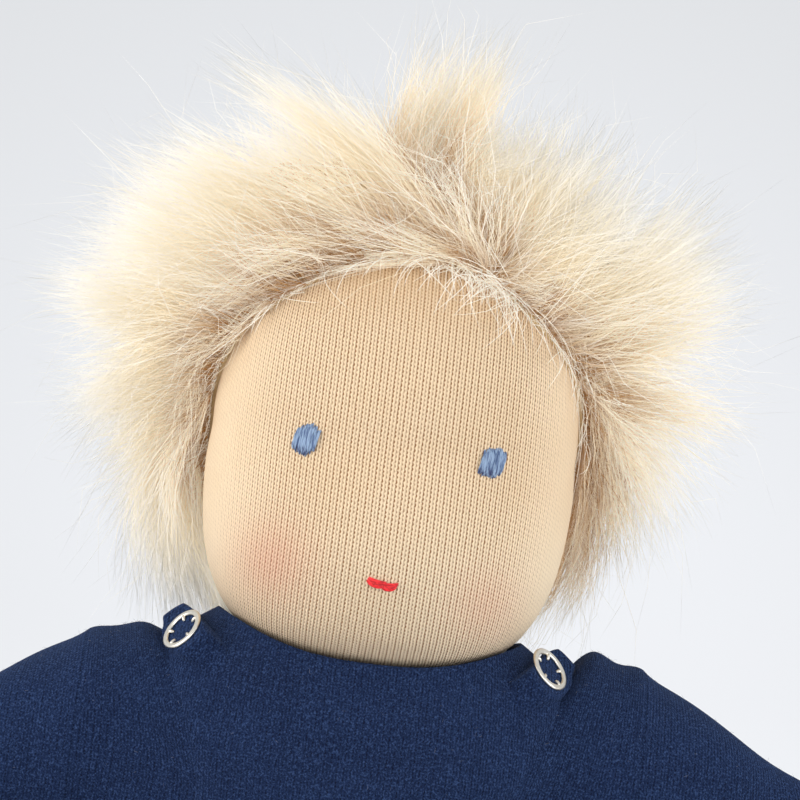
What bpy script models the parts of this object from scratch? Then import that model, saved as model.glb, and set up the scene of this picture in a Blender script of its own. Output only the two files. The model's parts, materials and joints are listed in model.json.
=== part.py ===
"""A seated waldorf doll of stuffed cotton tricot, in a knitted romper with ring snaps on both shoulders.

Metres, +Z up. The doll sits on the plane z = 0, looks along -Y, and its own left side is +X.
Every soft piece is a skin or a filling of its own, so the doll comes apart the way it is sewn.
"""

import math

import bmesh
import bpy
from mathutils import Matrix, Vector

# Cloth and clearances
GAP = 0.0003
CLOTH = 0.0014
RIB_CLOTH = 0.0018
SKIN = 0.0010
THREAD_RADIUS = 0.0006
MOVING_GAP = 0.0006
LOOSE_GAP = 0.0005
BODY_GAP = 0.0013
SEAM_GAP = 0.0006
STRAP_SEAM_GAP = 0.0018
WIG_GAP = 0.0020
WOOL_GAP = 0.0008
FLAT_DEPTH = 0.0005
OVERRUN = 0.010

# Torso and romper
TORSO_HEIGHT = 0.112
TORSO_HALF_WIDTH = 0.048
TORSO_HALF_DEPTH = 0.033
TORSO_SHIFT = 0.002
BAND_WIDTH = 0.0042

# Head
HEAD_HALF_WIDTH = 0.0398
HEAD_HALF_DEPTH = 0.0392
HEAD_ABOVE_EYES = 0.047
HEAD_BELOW_EYES = 0.0465
CHIN_SINK = 0.0055
EYE_HEIGHT = TORSO_HEIGHT - CHIN_SINK + HEAD_BELOW_EYES
CHEEK_SWELL = 0.0012
EYE_LINE_DIP = 0.0008
CORE_RADIUS = 0.024
EYE_SPACING = 0.0388
EYE_WIDTH = 0.0056
EYE_LENGTH = 0.0069
MOUTH_WIDTH = 0.0062
MOUTH_LENGTH = 0.0017
MOUTH_DROP = 0.0280
STITCH_HEIGHT = 0.0006
STITCH_VALLEY_SHARE = 0.35
STITCH_END_FALL_SHARE = 0.45
STITCH_SHORTENING_SHARE = 0.35

# Wig
PILE_DEPTH = 0.036
TUFT_RISE = 0.011
WIG_EDGE_ABOVE_EYES = 0.040
WIG_BACKING = 0.0012

# Neck
NECK_RADIUS = 0.0145
NECK_PIVOT_DROP = 0.024
NECK_PIVOT_HEIGHT = TORSO_HEIGHT - NECK_PIVOT_DROP
NECK_CLEARANCE = 0.0020

# Arms
SHOULDER_STANDOFF = 0.004
SHOULDER_OUT = TORSO_HALF_WIDTH + SHOULDER_STANDOFF
SHOULDER_DROP = 0.018
SHOULDER_HEIGHT = TORSO_HEIGHT - SHOULDER_DROP
SLEEVE_RADIUS = 0.018
SLEEVE_LENGTH = 0.078
CUFF_LENGTH = 0.012
HAND_LENGTH = 0.022
ARM_LENGTH = SLEEVE_LENGTH + CUFF_LENGTH + HAND_LENGTH
ARM_RADIUS = 0.0126
ARM_DROP_DEGREES = 40.0
WRIST_RADIUS = 0.0088

# Legs
HIP_OUT = TORSO_HALF_WIDTH / 2
HIP_STANDOFF = 0.001
HIP_FRONT = TORSO_HALF_DEPTH + HIP_STANDOFF
THIGH_RADIUS = 0.0215
LEG_CLOTH_LENGTH = 0.096
ANKLE_SHOWING = 0.002
LEG_LENGTH = LEG_CLOTH_LENGTH + CUFF_LENGTH + ANKLE_SHOWING
LEG_RADIUS = 0.0160
ANKLE_RADIUS = 0.0118
FOOT_RISE = 0.034
FOOT_BEND_RADIUS = 0.0145
LEG_SPREAD_DEGREES = 8.0

# Ring snaps and the tabs that they close
SNAP_ANGLE_DEGREES = 66.0
TAB_START_DEGREES = 53.0
TAB_END_DEGREES = 85.0
RING_RADIUS = 0.0044
RING_WIDTH = 0.0016
RING_THICKNESS = 0.0009
RING_EDGE_SHARE = 0.25
SOCKET_RADIUS = 0.0046
SOCKET_THICKNESS = 0.0017
STUD_RADIUS = 0.0018
STUD_BASE_RADIUS = 0.0042
STUD_BASE_THICKNESS = 0.0005
STUD_KNOB_HEIGHT = 0.0011
SNAP_SEAT = 0.0012
SNAP_ROW = 1.0
TAB_FIRST_ROW = 0.25
TAB_ROW_SPAN = 1.5
TAB_RISE_SHARE = 0.22

# Number of points round a piece
HEAD_SEGMENTS = 20
TORSO_COLUMNS = 12
LIMB_SEGMENTS = 12
SMALL_SEGMENTS = 12
THREAD_SIDES = 4
CUTTER_SEGMENTS = 20
CUTTER_RINGS = 10

SIDES = (("left", 1.0), ("right", -1.0))

# Each row: height as a share of the head above or below the eyes, girth as a share of its half width
HEAD_PROFILE_SHARES = (
    (1.0, 0.0), (0.965, 0.28), (0.86, 0.55), (0.69, 0.755), (0.49, 0.90), (0.31, 0.965), (0.13, 0.988),
    (0.0, 0.988), (-0.16, 1.0), (-0.37, 0.985), (-0.56, 0.945), (-0.73, 0.865), (-0.86, 0.75),
    (-0.95, 0.59), (-1.0, 0.42),
)

# Each row of the romper: half width, half depth, height at the side and height at the middle, all shares
ROMPER_LEVEL_SHARES = (
    (0.760, 0.830, 1.0, 0.890), (0.812, 0.860, 0.985, 0.855), (0.905, 0.890, 0.955, 0.815),
    (0.970, 0.905, 0.910, 0.768), (0.970, 0.920, 0.839, 0.714), (0.895, 0.935, 0.714, 0.625),
    (0.900, 0.950, 0.554, 0.518), (0.958, 0.975, 0.393, 0.393), (0.972, 1.0, 0.250, 0.250),
    (0.945, 0.980, 0.121, 0.121), (0.830, 0.860, 0.031, 0.031), (0.600, 0.600, -0.0045, -0.0045),
    (0.060, 0.080, -0.0045, -0.0045),
)
# The top rows of the torso skin, from the neck out to the shoulders, in the same shares
SHOULDER_LEVEL_SHARES = (
    (0.400, 0.580, 0.872, 0.862), (0.560, 0.690, 0.885, 0.842), (0.740, 0.760, 0.880, 0.788),
)
FIRST_SHARED_LEVEL = 4
STRAP_LEVEL_COUNT = 3
STRAP_COLUMNS = 2
STRAP_DEGREES = 51.0
MID_STRAP_DEGREES = 70.0
SIDE_SEAM_DEGREES = 90.0

# Each row of a sleeve, arm, trouser leg or leg: distance along the limb and radius, both shares
SLEEVE_SHARES = (
    (-0.05, 0.972), (0.0, 1.0), (0.08, 0.975), (0.18, 0.935), (0.36, 0.905), (0.58, 0.865), (0.78, 0.80),
    (0.92, 0.70), (1.0, 0.60),
)
ARM_SHARES = (
    (-0.107, 0.0), (-0.098, 0.38), (-0.070, 0.72), (0.0, 0.96), (0.14, 1.0), (0.36, 0.94), (0.58, 0.82),
    (0.74, 0.70), (0.79, 0.71), (0.86, 0.80), (0.93, 0.78), (0.975, 0.58), (1.0, 0.0),
)
TROUSER_SHARES = (
    (-0.06, 0.965), (0.0, 1.0), (0.08, 0.99), (0.22, 0.955), (0.46, 0.885), (0.70, 0.81), (0.88, 0.74),
    (1.0, 0.66),
)
LEG_SHARES = (
    (-0.145, 0.0), (-0.125, 0.45), (-0.075, 0.82), (0.0, 0.98), (0.16, 1.0), (0.42, 0.93), (0.68, 0.83),
    (0.88, 0.745), (1.0, 0.74),
)
FOOT_SHARES = ((0.25, 1.04), (0.5, 1.08), (0.75, 1.08), (1.0, 1.06))
TOE_SHARES = ((0.35, 1.02), (0.68, 0.90), (0.90, 0.58), (1.0, 0.0))
HAND_START_SHARE = 0.80
HAND_FLATTEN_SHARE = 0.84
THUMB_PLACE_SHARE = 0.86
THUMB_SLANT_SHARE = 0.8
THUMB_RADIUS_SHARE = 0.40
ARM_SEAM_SHARE = 0.42
THUMB_SHARES = ((0.0, 0.0), (0.0, 0.25), (1.0, 1.0), (1.7, 0.8), (2.1, 0.0))

# Height of the wig's edge, as a share of its front height, against the angle from the front in degrees
WIG_EDGE_SHARES = (
    (0.0, 1.0), (20.0, 0.98), (40.0, 0.87), (60.0, 0.66), (75.0, 0.44), (90.0, 0.18), (110.0, -0.34),
    (135.0, -0.66), (180.0, -0.80),
)
# Thickness of the pile as a share of its depth, from the crown to the edge
PILE_SHARES = (0.78, 0.80, 0.84, 0.90, 0.96, 1.0, 0.94, 0.72, 0.26)


def clear_scene():
    """Remove whatever the file holds."""
    for thing in list(bpy.data.objects):
        bpy.data.objects.remove(thing, do_unlink=True)


def make_material(name, colour, roughness, metallic=0.0):
    """A plain Principled material."""
    material = bpy.data.materials.new(name)
    material.use_nodes = True
    shader = material.node_tree.nodes["Principled BSDF"]
    shader.inputs["Base Color"].default_value = (*colour, 1.0)
    shader.inputs["Roughness"].default_value = roughness
    shader.inputs["Metallic"].default_value = metallic
    return material


def rows_object(name, rows, material, wrap=True, loop=False):
    """One closed body from rows of points. A row of one point is a pole, wrap joins each row's ends and
    loop joins the last row to the first."""
    mesh = bpy.data.meshes.new(name)
    body = bmesh.new()
    made = [[body.verts.new(point) for point in row] for row in rows]
    pairs = list(zip(made, made[1:]))
    if loop:
        pairs.append((made[-1], made[0]))
    for low, high in pairs:
        count = max(len(low), len(high))
        for index in range(count if wrap else count - 1):
            after = (index + 1) % count
            if len(low) == 1:
                body.faces.new((low[0], high[index], high[after]))
            elif len(high) == 1:
                body.faces.new((low[after], low[index], high[0]))
            else:
                body.faces.new((low[index], low[after], high[after], high[index]))
    bmesh.ops.recalc_face_normals(body, faces=body.faces)
    body.to_mesh(mesh)
    body.free()
    mesh.shade_smooth()
    mesh.set_sharp_from_angle(angle=math.radians(50.0))
    if material:
        mesh.materials.append(material)
    thing = bpy.data.objects.new(name, mesh)
    bpy.context.collection.objects.link(thing)
    return thing


def slab_object(name, outer, inner, material):
    """A closed sheet between two grids of points with the same rows and columns."""
    mesh = bpy.data.meshes.new(name)
    body = bmesh.new()
    faces = [[[body.verts.new(point) for point in row] for row in grid] for grid in (outer, inner)]
    rows, columns = len(outer), len(outer[0])
    for grid in faces:
        for i in range(rows - 1):
            for j in range(columns - 1):
                body.faces.new((grid[i][j], grid[i][j + 1], grid[i + 1][j + 1], grid[i + 1][j]))
    border = [(0, j) for j in range(columns)] + [(i, columns - 1) for i in range(1, rows)]
    border += [(rows - 1, j) for j in range(columns - 2, -1, -1)] + [(i, 0) for i in range(rows - 2, 0, -1)]
    for (i, j), (m, n) in zip(border, border[1:] + border[:1]):
        body.faces.new((faces[0][i][j], faces[0][m][n], faces[1][m][n], faces[1][i][j]))
    bmesh.ops.recalc_face_normals(body, faces=body.faces)
    body.to_mesh(mesh)
    body.free()
    mesh.shade_smooth()
    mesh.set_sharp_from_angle(angle=math.radians(50.0))
    if material:
        mesh.materials.append(material)
    thing = bpy.data.objects.new(name, mesh)
    bpy.context.collection.objects.link(thing)
    return thing


def offset_rows(rows, amount, wrap=True):
    """Rows moved outwards along the surface's own normals. Poles move along their end's direction."""
    centre = sum((point for row in rows for point in row), Vector()) / sum(len(row) for row in rows)
    moved = []
    for i, row in enumerate(rows):
        before, after = rows[max(i - 1, 0)], rows[min(i + 1, len(rows) - 1)]
        if len(row) == 1:
            near = after if i == 0 else before
            spokes = [point - row[0] for point in near]
            normal = sum((a.cross(b) for a, b in zip(spokes, spokes[1:] + spokes[:1])), Vector())
            normal = normal.normalized() if normal.dot(row[0] - centre) > 0 else -normal.normalized()
            moved.append([row[0] + normal * amount])
            continue
        fresh = []
        for j, point in enumerate(row):
            count = len(row)
            left = row[(j - 1) % count] if wrap else row[max(j - 1, 0)]
            right = row[(j + 1) % count] if wrap else row[min(j + 1, count - 1)]
            down = after[j if len(after) > 1 else 0] - before[j if len(before) > 1 else 0]
            normal = (right - left).cross(down).normalized()
            fresh.append((normal, point))
        middle = sum(row, Vector()) / len(row)
        facing = sum(normal.dot(point - (middle if wrap else centre)) for normal, point in fresh)
        sign = 1.0 if facing > 0 else -1.0
        moved.append([point + normal * amount * sign for normal, point in fresh])
    return moved


def boolean(thing, cutter, operation="DIFFERENCE"):
    """Cut or join with another object, which stays as a guide."""
    modifier = thing.modifiers.new(cutter.name, "BOOLEAN")
    modifier.operation = operation
    modifier.solver = "EXACT"
    modifier.object = cutter
    cutter.hide_render = True
    cutter.display_type = "WIRE"


def signed_power(value, power):
    return math.copysign(abs(value) ** power, value)


def lerp_table(table, key):
    """Value of a table of pairs at key, straight between its entries."""
    for (low, a), (high, b) in zip(table, table[1:]):
        if key <= high:
            return a + (b - a) * (key - low) / (high - low)
    return table[-1][1]


def ring(height, half_width, half_depth, shift, columns, squareness):
    """A rounded-rectangle ring from a list of angles, 0 at the front and 90 at +X."""
    power = 2.0 / squareness
    return [
        Vector((
            half_width * signed_power(math.sin(angle), power),
            shift - half_depth * signed_power(math.cos(angle), power),
            height(angle),
        ))
        for angle in columns
    ]


def full_turn(count):
    return [2.0 * math.pi * index / count for index in range(count)]


# Head

def head_rows():
    """The outside of the head skin, from the crown to the neck, with cheeks and a faint eye line."""
    rows = []
    columns = full_turn(HEAD_SEGMENTS)
    for height_share, girth_share in HEAD_PROFILE_SHARES:
        reach = HEAD_ABOVE_EYES if height_share > 0 else HEAD_BELOW_EYES
        height = EYE_HEIGHT + height_share * reach
        if girth_share == 0:
            rows.append([Vector((0, 0, height))])
            continue
        cheek = math.exp(-((height_share + 0.42) / 0.25) ** 2) * CHEEK_SWELL
        dip = math.exp(-((height_share + 0.02) / 0.12) ** 2) * EYE_LINE_DIP
        row = ring(lambda angle: height, girth_share * HEAD_HALF_WIDTH, girth_share * HEAD_HALF_DEPTH, 0,
                   columns, 2.2)
        for angle, point in zip(columns, row):
            front = max(math.cos(angle), 0.0) ** 2
            point.y -= front * (cheek - dip)
        rows.append(row)
    return rows


def head_point(rows, across, height):
    """Point and outward normal on the face, at a distance across from the middle and a height."""
    columns = full_turn(HEAD_SEGMENTS)
    lower = next(i for i, row in enumerate(rows) if row[0].z <= height)
    low, high = rows[lower], rows[lower - 1]
    share = (height - low[0].z) / (high[0].z - low[0].z)
    half = len(columns) // 4
    order = list(range(-half, half + 1))
    line = [low[k].lerp(high[k], share) for k in order]
    for start, end in zip(line, line[1:]):
        if start.x <= across <= end.x:
            point = start.lerp(end, (across - start.x) / (end.x - start.x))
            side = end - start
    up = high[0] - low[0]
    return point, side.cross(up).normalized()


def embroidery(name, rows, material, across, height, half_width, half_length, threads, upright):
    """A pad of satin stitches lying side by side on the face."""
    outer, inner = [], []
    long_half, wide_half = (half_length, half_width) if upright else (half_width, half_length)
    steps = threads * 2
    for i in range(5):
        along = i / 2.0 - 1.0
        outer_row, inner_row = [], []
        for j in range(steps + 1):
            cross = 2.0 * j / steps - 1.0
            ridge = 1.0 if j % 2 else STITCH_VALLEY_SHARE
            fall = 1.0 - STITCH_END_FALL_SHARE * along ** 4
            reach = long_half * (1.0 - STITCH_SHORTENING_SHARE * cross ** 2) * along
            spread = wide_half * cross
            x, z = (spread, reach) if upright else (reach, spread)
            point, normal = head_point(rows, across + x, height + z)
            inner_row.append(point + normal * GAP)
            outer_row.append(point + normal * (GAP + STITCH_HEIGHT * ridge * fall))
        outer.append(outer_row)
        inner.append(inner_row)
    return slab_object(name, outer, inner, material)


def thread_tube(name, points, radius, material, closed):
    """A thread of THREAD_SIDES sides along points."""
    rows = []
    count = len(points)
    for i, point in enumerate(points):
        before = points[(i - 1) % count] if closed else points[max(i - 1, 0)]
        after = points[(i + 1) % count] if closed else points[min(i + 1, count - 1)]
        tangent = (after - before).normalized()
        across = tangent.orthogonal().normalized()
        if abs(tangent.x) < 0.99 and not closed:
            across = tangent.cross(Vector((0, 1, 0))).normalized()
        if closed:
            across = tangent.cross(Vector((0, 0, 1))).normalized()
        other = tangent.cross(across)
        rows.append([
            point + (across * math.cos(turn) + other * math.sin(turn)) * radius
            for turn in full_turn(THREAD_SIDES)
        ])
    if not closed:
        rows = [[points[0]]] + rows + [[points[-1]]]
    return rows_object(name, rows, material, loop=closed)


def ball_rows(centre, radius, segments, rings, last=1.0):
    """Rows of a sphere from its top, down to a share of its height."""
    rows = [[centre + Vector((0, 0, radius))]]
    for i in range(1, rings):
        turn = math.pi * i / rings
        if turn > math.pi * last + 0.01:
            return rows
        rows.append([
            centre + radius * Vector((
                math.sin(turn) * math.cos(a), math.sin(turn) * math.sin(a), math.cos(turn),
            ))
            for a in full_turn(segments)
        ])
    return rows + [[centre - Vector((0, 0, radius))]]


def room(name, centre, radius, stem=None):
    """A guide whose flat faces all lie outside a sphere, drawn out into a bar where a stem is given."""
    facet = math.cos(math.pi / CUTTER_SEGMENTS) * math.cos(math.pi / (2 * CUTTER_RINGS))
    if not stem:
        return rows_object(name, ball_rows(centre, radius / facet, CUTTER_SEGMENTS, CUTTER_RINGS), None)
    rows = ball_rows(centre, radius / facet, CUTTER_SEGMENTS, CUTTER_RINGS, 0.5)
    rows.append([point + stem for point in rows[-1]])
    rows.append([centre + stem])
    return rows_object(name, rows, None)


def build_head(materials):
    outer = head_rows()
    inner = offset_rows(outer, -SKIN)
    rows_object("head_skin", outer + inner[::-1], materials["skin"])

    # The thread lines round the eyes and over the ears, tied on the wool head under the skin
    depth = SKIN + GAP + THREAD_RADIUS
    eye_row = next(i for i, (share, girth) in enumerate(HEAD_PROFILE_SHARES) if share == 0)
    eye_line = offset_rows(outer, -depth)[eye_row]
    quarter = HEAD_SEGMENTS // 4
    under = offset_rows(outer, -depth)
    last = len(under) - 2
    over = [under[i][3 * quarter] for i in range(last, 0, -1)] + [under[0][0]]
    over += [under[i][quarter] for i in range(1, last + 1)]
    threads = thread_tube("head_threads", eye_line, THREAD_RADIUS, materials["thread"], True)
    ear_thread = thread_tube("ear_thread_guide", over, THREAD_RADIUS, None, False)
    boolean(threads, ear_thread, "UNION")

    wool_outer = offset_rows(outer, -(SKIN + GAP))
    core_centre = Vector((0, 0, EYE_HEIGHT))
    wool_radius = CORE_RADIUS + WOOL_GAP
    top = math.acos((NECK_RADIUS + LOOSE_GAP) / wool_radius)
    hollow = [[core_centre + Vector((0, 0, wool_radius))]]
    for i in range(1, 9):
        turn = (math.pi / 2 + top) * i / 8
        hollow.append([
            core_centre + wool_radius * Vector((
                math.sin(turn) * math.sin(a), -math.sin(turn) * math.cos(a), math.cos(turn),
            ))
            for a in full_turn(HEAD_SEGMENTS)
        ])
    channel = [
        Vector(((NECK_RADIUS + LOOSE_GAP) * math.sin(a), -(NECK_RADIUS + LOOSE_GAP) * math.cos(a),
                EYE_HEIGHT - HEAD_BELOW_EYES))
        for a in full_turn(HEAD_SEGMENTS)
    ]
    wool = rows_object("inner_head", wool_outer + [channel] + hollow[::-1], materials["wool"])
    boolean(wool, thread_tube("eye_groove", eye_line, THREAD_RADIUS + WOOL_GAP, None, True))
    boolean(wool, thread_tube("ear_groove", over, THREAD_RADIUS + WOOL_GAP, None, False))
    core = ball_rows(core_centre, CORE_RADIUS, LIMB_SEGMENTS, CUTTER_RINGS)
    rows_object("head_core", core, materials["wool"])

    for side, sign in SIDES:
        embroidery(f"eye_{side}", outer, materials["blue"], sign * EYE_SPACING / 2, EYE_HEIGHT,
                   EYE_WIDTH / 2, EYE_LENGTH / 2, 5, True)
    embroidery("mouth", outer, materials["red"], 0, EYE_HEIGHT - MOUTH_DROP, MOUTH_WIDTH / 2,
               MOUTH_LENGTH / 2, 2, False)
    build_wig(outer, materials)


def wig_ends(outer, drop):
    """Place of the wig's edge on each column of the head, counted in rows from the crown."""
    ends = []
    for j, angle in enumerate(full_turn(HEAD_SEGMENTS)):
        degrees = math.degrees(angle)
        share = lerp_table(WIG_EDGE_SHARES, min(degrees, 360.0 - degrees))
        height = EYE_HEIGHT + share * WIG_EDGE_ABOVE_EYES - drop
        lower = next(i for i in range(1, len(outer)) if outer[i][j if i else 0].z <= height)
        low = outer[lower][j]
        high = outer[lower - 1][j if lower > 1 else 0]
        ends.append(lower - (height - low.z) / (high.z - low.z))
    return ends


def wig_rows(outer, first, hem):
    """Rows over the head from the crown to the wig's edge, and on to a hem below it."""
    steps = len(PILE_SHARES) - 1
    ends = wig_ends(outer, 0)
    places = [[end * k / steps for end in ends] for k in range(1, steps + 1)]
    if hem:
        places.append(wig_ends(outer, hem))
    rows = [[first[0][0].copy()]]
    for line in places:
        row = []
        for j, place in enumerate(line):
            i = min(int(place), len(first) - 2)
            high = first[i][j if len(first[i]) > 1 else 0]
            row.append(high.lerp(first[i + 1][j], place - i))
        rows.append(row)
    return rows


def build_wig(outer, materials):
    cap_inner = wig_rows(outer, offset_rows(outer, WIG_GAP), WIG_BACKING)
    cap_outer = wig_rows(outer, offset_rows(outer, WIG_GAP + WIG_BACKING), WIG_BACKING)
    rows_object("wig_backing", cap_outer + cap_inner[::-1], materials["backing"])
    pile_inner = wig_rows(outer, offset_rows(outer, 2 * WIG_GAP + WIG_BACKING), 0)
    pile_outer = []
    middle = Vector((0, 0, EYE_HEIGHT))
    steps = len(PILE_SHARES) - 1
    for k, row in enumerate(pile_inner):
        fresh = []
        for point in row:
            away = (point - middle).normalized()
            tuft = math.exp(-((k / steps - 0.3) / 0.25) ** 2) * max(-away.y, 0) * TUFT_RISE
            fresh.append(point + away * PILE_SHARES[k] * PILE_DEPTH + Vector((0, 0, tuft)))
        pile_outer.append(fresh)
    rows_object("wig_pile", pile_outer + pile_inner[::-1], materials["hair"])


# Neck

def build_neck(materials):
    """The wool stalk that turns in the head and nods in the torso."""
    bottom = Vector((0, TORSO_SHIFT, NECK_PIVOT_HEIGHT))
    rows = [
        [Vector((point.x, point.y, 2 * bottom.z - point.z)) for point in row]
        for row in ball_rows(bottom, NECK_RADIUS, LIMB_SEGMENTS, CUTTER_RINGS, 0.5)
    ]
    top = EYE_HEIGHT - math.sqrt((CORE_RADIUS + WOOL_GAP) ** 2 - NECK_RADIUS ** 2) - 2 * WOOL_GAP
    base = EYE_HEIGHT - HEAD_BELOW_EYES
    for height in (base - NECK_CLEARANCE, top):
        rows.append([
            Vector((NECK_RADIUS * math.cos(a), NECK_RADIUS * math.sin(a), height))
            for a in full_turn(LIMB_SEGMENTS)
        ])
    rows.append([Vector((0, 0, EYE_HEIGHT - CORE_RADIUS - 2 * WOOL_GAP))])
    rows_object("neck_core", rows, materials["wool"])
    tie_height = base - NECK_CLEARANCE - THREAD_RADIUS
    tie_radius = NECK_RADIUS + GAP + THREAD_RADIUS
    share = (base - NECK_CLEARANCE - tie_height) / (base - NECK_CLEARANCE - NECK_PIVOT_HEIGHT)
    tie = [
        Vector((tie_radius * math.cos(a), tie_radius * math.sin(a) + share * TORSO_SHIFT, tie_height))
        for a in full_turn(LIMB_SEGMENTS)
    ]
    thread_tube("neck_tie", tie, THREAD_RADIUS, materials["thread"], True)


# Torso and romper

def level_height(level):
    """Height of a torso row as a function of the angle round it."""
    return lambda angle: TORSO_HEIGHT * (level[3] + (level[2] - level[3]) * math.sin(angle) ** 2)


def torso_row(level, columns):
    return ring(level_height(level), level[0] * TORSO_HALF_WIDTH, level[1] * TORSO_HALF_DEPTH, TORSO_SHIFT,
                columns, 2.5)


def torso_shell(depth):
    """Rows of the torso under the romper, from the neck to the seat."""
    columns = full_turn(2 * TORSO_COLUMNS)
    shared = [torso_row(level, columns) for level in ROMPER_LEVEL_SHARES[FIRST_SHARED_LEVEL:-1]]
    neck = [torso_row(level, columns) for level in SHOULDER_LEVEL_SHARES]
    rows = neck + shared
    rows.append([Vector((0, TORSO_SHIFT, TORSO_HEIGHT * ROMPER_LEVEL_SHARES[-1][2]))])
    return offset_rows(rows, -depth)


def split_angle(row):
    """Where the front and back of the romper meet on a row: further forward on the shoulder strap."""
    if row < STRAP_LEVEL_COUNT:
        return math.radians(STRAP_DEGREES)
    if row == STRAP_LEVEL_COUNT:
        return math.radians(MID_STRAP_DEGREES)
    return math.radians(SIDE_SEAM_DEGREES)


def romper_grid(front, levels, last_row):
    """Rows of one half of the romper, with the seam's gap taken off at both ends."""
    rows = []
    for index, level in enumerate(levels[:last_row]):
        seam = split_angle(index)
        gap = STRAP_SEAM_GAP if index <= STRAP_LEVEL_COUNT else SEAM_GAP
        half_gap = math.asin(min(gap / 2 / max(level[1] * TORSO_HALF_DEPTH, gap), 1.0))
        if front:
            start, end = -seam + half_gap, seam - half_gap
        else:
            start, end = seam + half_gap, 2.0 * math.pi - seam - half_gap
        columns = [start + (end - start) * j / TORSO_COLUMNS for j in range(TORSO_COLUMNS + 1)]
        rows.append(torso_row(level, columns))
    return rows


def build_torso(cutters, materials):
    skin_outer = torso_shell(CLOTH + BODY_GAP)
    skin_inner = torso_shell(CLOTH + BODY_GAP + SKIN)
    skin = rows_object("torso_skin", skin_outer[::-1] + skin_inner, materials["skin"])
    fill_outer = torso_shell(CLOTH + BODY_GAP + SKIN + LOOSE_GAP)
    lid = [Vector((0, TORSO_SHIFT, fill_outer[0][0].z))]
    fill = rows_object("torso_stuffing", [lid] + fill_outer, materials["wool"])
    pivot = Vector((0, TORSO_SHIFT, NECK_PIVOT_HEIGHT))
    boolean(fill, room("neck_socket", pivot, NECK_RADIUS + LOOSE_GAP))
    boolean(fill, room("neck_mouth", pivot + Vector((0, 0, TORSO_HEIGHT)), NECK_RADIUS + NECK_CLEARANCE,
                       Vector((0, 0, -TORSO_HEIGHT))))
    for thing in (skin, fill):
        for cutter in cutters["soft"]:
            boolean(thing, cutter)

    count = len(ROMPER_LEVEL_SHARES)
    for name, front in (("romper_front", True), ("romper_back", False)):
        outer = romper_grid(front, ROMPER_LEVEL_SHARES, count)
        inner = offset_rows(outer, -CLOTH, False)
        panel = slab_object(name, outer, inner, materials["navy"])
        for cutter in cutters["cloth"]:
            boolean(panel, cutter)

    # The neck binding stands on the romper's top edge, front and back
    for name, front in (("neck_band_front", True), ("neck_band_back", False)):
        edge, below = romper_grid(front, ROMPER_LEVEL_SHARES, 2)
        # At the back the binding ends where the tab begins
        skip = 0 if front else STRAP_COLUMNS
        keep = range(skip, len(edge) - skip)
        rise = [(edge[j] - below[j]).normalized() for j in range(len(edge))]
        grid = [[edge[j] + rise[j] * (GAP + BAND_WIDTH * share) for j in keep] for share in (1.0, 0.5, 0.0)]
        slab_object(name, grid, offset_rows(grid, -RIB_CLOTH, False), materials["navy"])


# Limbs

def limb_frame(direction):
    """Axes across a limb: one level and one up."""
    level = direction.cross(Vector((0, 0, 1)))
    level = level.normalized() if level.length > 0 else Vector((1, 0, 0))
    return level, level.cross(direction).normalized()


def tube_rows(stations):
    """Rings round stations of (centre, direction, radius, flattening)."""
    rows = []
    for centre, direction, radius, flatten in stations:
        if radius == 0:
            rows.append([centre])
            continue
        level, up = limb_frame(direction)
        rows.append([
            centre + (level * math.cos(a) + up * math.sin(a) * flatten) * radius
            for a in full_turn(LIMB_SEGMENTS)
        ])
    return rows


def open_tube(name, rows, thickness, material):
    """A sleeve open at both ends."""
    inner = offset_rows(rows, -thickness)
    return rows_object(name, rows + inner[::-1], material, loop=True)


def shoulder(sign):
    return Vector((sign * SHOULDER_OUT, TORSO_SHIFT, SHOULDER_HEIGHT))


def arm_direction(sign):
    drop = math.radians(ARM_DROP_DEGREES)
    return Vector((sign * math.cos(drop), 0, -math.sin(drop)))


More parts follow.
